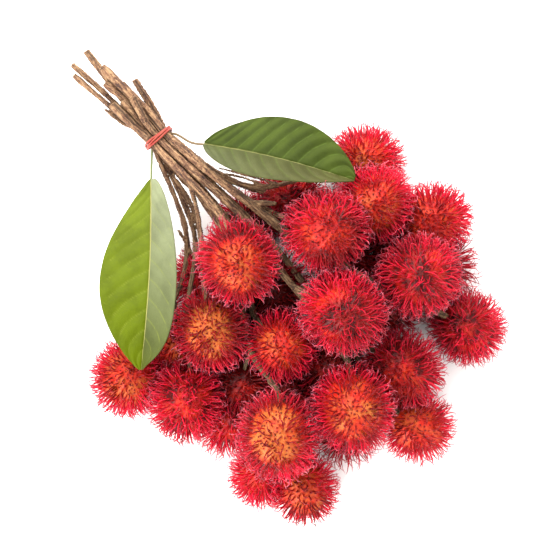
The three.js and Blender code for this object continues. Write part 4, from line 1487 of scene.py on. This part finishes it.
        # Under the midrib: share of the length, depth below the blade, and share of the radius.
        under = ((0.012, 0.3, 0.9), (0.06, 0.6, 0.8), (0.2, 0.8, 0.6), (0.45, 0.7, 0.2))
        way = [np.array(p, float) + BUNCH_SHIFT for p in self.petiole]
        way += [self.blade_points(np.array(s), np.array(0.001)) - UP * d for s, d, _ in under]
        radii = np.array([1.0] * len(self.petiole) + [r for _, _, r in under]) * self.petiole_radius
        stalk = tube(self.name + "_stalk", np.array(way) * MM, radii * MM)
        count = len(stalk.data.vertices)
        for key, value in (("vein", 0.0), ("wave", 0.5), ("midrib", 1.0), ("side", 0.5), ("share", 0.5)):
            paint(stalk.data, key, np.full(count, value))
        joint = (np.array(self.base) + BUNCH_SHIFT) * MM
        past = (points_of(stalk.data) - joint) @ self.frame()[1][:, 0]
        near, far = self.joint
        paint(stalk.data, "stalk", 1 - np.clip((past - near * MM) / ((far - near) * MM), 0, 1))
        return stalk


def tube(name: str, way: np.ndarray, radii: np.ndarray, closed: bool = False) -> bpy.types.Object:
    """A round tube along a smooth line.

    Args:
        name: The piece's name.
        way: Points of the line, in metres.
        radii: The tube's radius at each point, in metres.
        closed: Whether the line runs back to its start.

    Returns:
        The tube as a mesh.
    """
    data = bpy.data.curves.new(name, "CURVE")
    data.dimensions = "3D"
    data.bevel_depth = 1.0
    data.bevel_resolution = 3
    data.use_fill_caps = True
    data.resolution_u = 6
    spline = data.splines.new("NURBS")
    spline.points.add(len(way) - 1)
    for point, place, radius in zip(spline.points, way, radii):
        point.co = (*place, 1.0)
        point.radius = radius
    spline.use_cyclic_u = closed
    spline.use_endpoint_u = not closed
    spline.order_u = 4
    piece = bpy.data.objects.new(name, data)
    bpy.context.collection.objects.link(piece)
    choose(piece)
    bpy.ops.object.convert(target="MESH")
    return bpy.context.object


# ------------------------------------------------------------------ rubber band


@dataclass
class RubberBand:
    """A rubber band wound several times round the stems."""

    strands: int = 3
    strand_radius: float = 0.62 * MM
    pitch: float = 1.12 * MM
    wander: float = 0.35 * MM  # of a strand to the sides
    wander_shift: float = 2.1  # radians, from one strand to the next
    lift: float = 0.12 * MM  # of a strand outwards
    lift_shift: float = 1.3  # radians, from one strand to the next
    blur: float = 0.07  # radians round the band over which its width is evened
    samples: int = 60

    def build(self, node: bpy.types.Object) -> bpy.types.Object:
        """Winds the strands along the middle of the CAD band's wall.

        Args:
            node: The CAD band.

        Returns:
            The band as one piece.
        """
        low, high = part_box(node.name)
        points = points_of(node.data)
        middle = (np.array(low) + np.array(high)) / 2
        turn = np.arctan2(points[:, 2] - middle[2], points[:, 1] - middle[1])
        size = np.hypot(points[:, 2] - middle[2], points[:, 1] - middle[1])
        angles = np.linspace(-math.pi, math.pi, self.samples, endpoint=False)
        gap = np.abs((turn[None, :] - angles[:, None] + math.pi) % (2 * math.pi) - math.pi)
        near = np.exp(-((gap / self.blur) ** 2)) + 1e-9
        radius = (near * size[None, :]).sum(axis=1) / near.sum(axis=1)
        pieces = []
        for k in range(self.strands):
            offset = (k - (self.strands - 1) / 2) * self.pitch
            x = middle[0] + offset + self.wander * np.sin(angles * 2 + k * self.wander_shift)
            out = radius + self.lift * np.cos(angles * 3 + k * self.lift_shift)
            y, z = middle[1] + out * np.cos(angles), middle[2] + out * np.sin(angles)
            radii = np.full(self.samples, self.strand_radius)
            pieces.append(tube(f"strand_{k}", np.stack([x, y, z], axis=1), radii, closed=True))
        choose(pieces[0])
        for piece in pieces[1:]:
            piece.select_set(True)
        bpy.ops.object.join()
        band = bpy.context.object
        band.name = "rubber_band_piece"
        return band


# ------------------------------------------------------------------ stage


@dataclass
class Studio:
    """A pale floor, soft light from one side and a camera that looks straight down."""

    height: float = 900.0 * MM
    middle: tuple[float, float] = (14.75 * MM, 7.02 * MM)
    half_view: float = 166.2 * MM  # half of what is seen at the bunch's middle height
    view_depth: float = 860.0 * MM  # from the camera down to that height
    turn: float = math.radians(50)
    sky: float = 0.9  # brightness of the sky

    def build_floor(self) -> None:
        """A plain pale floor under the bunch."""
        deselect_all()
        bpy.ops.mesh.primitive_plane_add(size=8.0, location=(0, 0, 0))
        floor = bpy.context.object
        floor.name = "floor"
        material, graph, shader = new_material("floor_pale")
        graph.feed(shader, {"Base Color": (0.93, 0.925, 0.915, 1.0), "Roughness": 0.9})
        floor.data.materials.append(material)

    def build_camera(self) -> None:
        """The camera, above the middle and turned so that the stems point to the upper left."""
        data = bpy.data.cameras.new("camera")
        data.sensor_width = 36.0
        data.lens = data.sensor_width / 2 * self.view_depth / self.half_view
        data.clip_end = 20.0
        camera = bpy.data.objects.new("camera", data)
        camera.location = (*self.middle, self.height)
        camera.rotation_euler = (0, 0, self.turn)
        bpy.context.collection.objects.link(camera)
        bpy.context.scene.camera = camera

    def add_light(
        self,
        name: str,
        place: tuple[float, float, float],
        size: float,
        power: float,
        colour: tuple[float, float, float] = (1.0, 0.98, 0.97),
    ) -> None:
        """A square soft light that faces the bunch.

        Args:
            name: The light's name.
            place: Its place, in metres.
            size: Its side, in metres.
            power: Its power, in watts.
            colour: Its colour.
        """
        data = bpy.data.lights.new(name, "AREA")
        data.size = size
        data.energy = power
        data.color = colour
        light = bpy.data.objects.new(name, data)
        light.location = place
        light.rotation_euler = (-Vector(place)).to_track_quat("-Z", "Y").to_euler()
        bpy.context.collection.objects.link(light)

    def build_light(self) -> None:
        """A key light from one side, low pale screens beside the bunch and an even pale sky."""
        self.add_light("key", (-0.9, -0.05, 1.35), 1.5, 46.0, (1.0, 0.98, 0.95))
        self.add_light("screen_front", (0.15, -1.35, 0.6), 1.2, 50.0)
        self.add_light("screen_right", (0.95, 0.25, 0.5), 1.0, 9.0)
        self.add_light("screen_back", (-0.8, 1.05, 0.6), 1.2, 36.0)
        world = bpy.data.worlds.new("sky")
        world.use_nodes = True
        background = world.node_tree.nodes["Background"]
        background.inputs["Color"].default_value = (1.0, 1.0, 1.0, 1.0)
        background.inputs["Strength"].default_value = self.sky
        bpy.context.scene.world = world
        bpy.context.scene.view_settings.view_transform = "Standard"


# ------------------------------------------------------------------ the bunch


LEAVES = (
    Leaf(
        name="leaf_1",
        base=(20.9, 18, 38),
        tip=(97.1, 71.8, 60),
        bow=1.8,
        arch=5,
        ripple=0.7,
        halves=(HalfBlade(25.3, 0.54, 0.58, -6), HalfBlade(25.4, 0.43, 0.88, 54)),
        petiole=((2.4, 6.2, 31.5), (3.6, 8.9, 32.5), (9, 11, 34), (16, 12.5, 36)),
        finish=LeafFinish(
            name="leaf_green_deep",
            # the right half, folded up steeply, is greyer, partly as a painted reflection
            right=("474c2e", "3e3d1e"),
            left=("374219", "343f11"),
            vein="5e7430",
            midrib="7c7c4c",
            stalk="6a5a44",
            vein_shade_banding=0.34,
        ),
    ),
    Leaf(
        name="leaf_2",
        base=(15.7, -19.3, 31),
        tip=(101.6, -97.4, 46),
        bow=2.7,
        arch=7,
        ripple=0.6,
        halves=(HalfBlade(25.8, 0.62, 0.33, 47, 0.65), HalfBlade(29.9, 0.55, 0.8, -4)),
        petiole=((2.4, -7.6, 28.5), (5, -10, 28.5), (10.1, -14.5, 30)),
        finish=LeafFinish(
            name="leaf_green_fresh",
            # the left half, folded up steeply, is pale grey-green at its base, partly as a painted reflection
            right=("546018", "434f00"),
            left=("70755a", "353c0d"),
            vein="7c8430",
            midrib="96905c",
            stalk="6c7450",
            vein_shade_banding=0.07,
        ),
    ),
)


def main() -> None:
    """Builds the bunch on its frame."""
    logging.basicConfig(level=logging.INFO, format="%(message)s")
    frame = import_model()
    studio = Studio()
    studio.build_camera()
    studio.build_floor()
    studio.build_light()
    effects = SharedEffects()
    nodes = frame["nodes"]
    rind = RindFinish().build(effects)
    FruitHeap().build(frame, rind)
    bark = BarkFinish().build(effects)
    for name in sorted(name for name in nodes if name.startswith("stem_")):
        finish_piece(Stem(name).build(nodes[name]), name, bark)
    for leaf in LEAVES:
        finish_piece(leaf.build(), leaf.name, leaf.finish.build(effects))
    band = RubberBand().build(nodes["rubber_band"])
    finish_piece(band, "rubber_band", RubberFinish().build(effects))


if __name__ == "__main__":
    main()
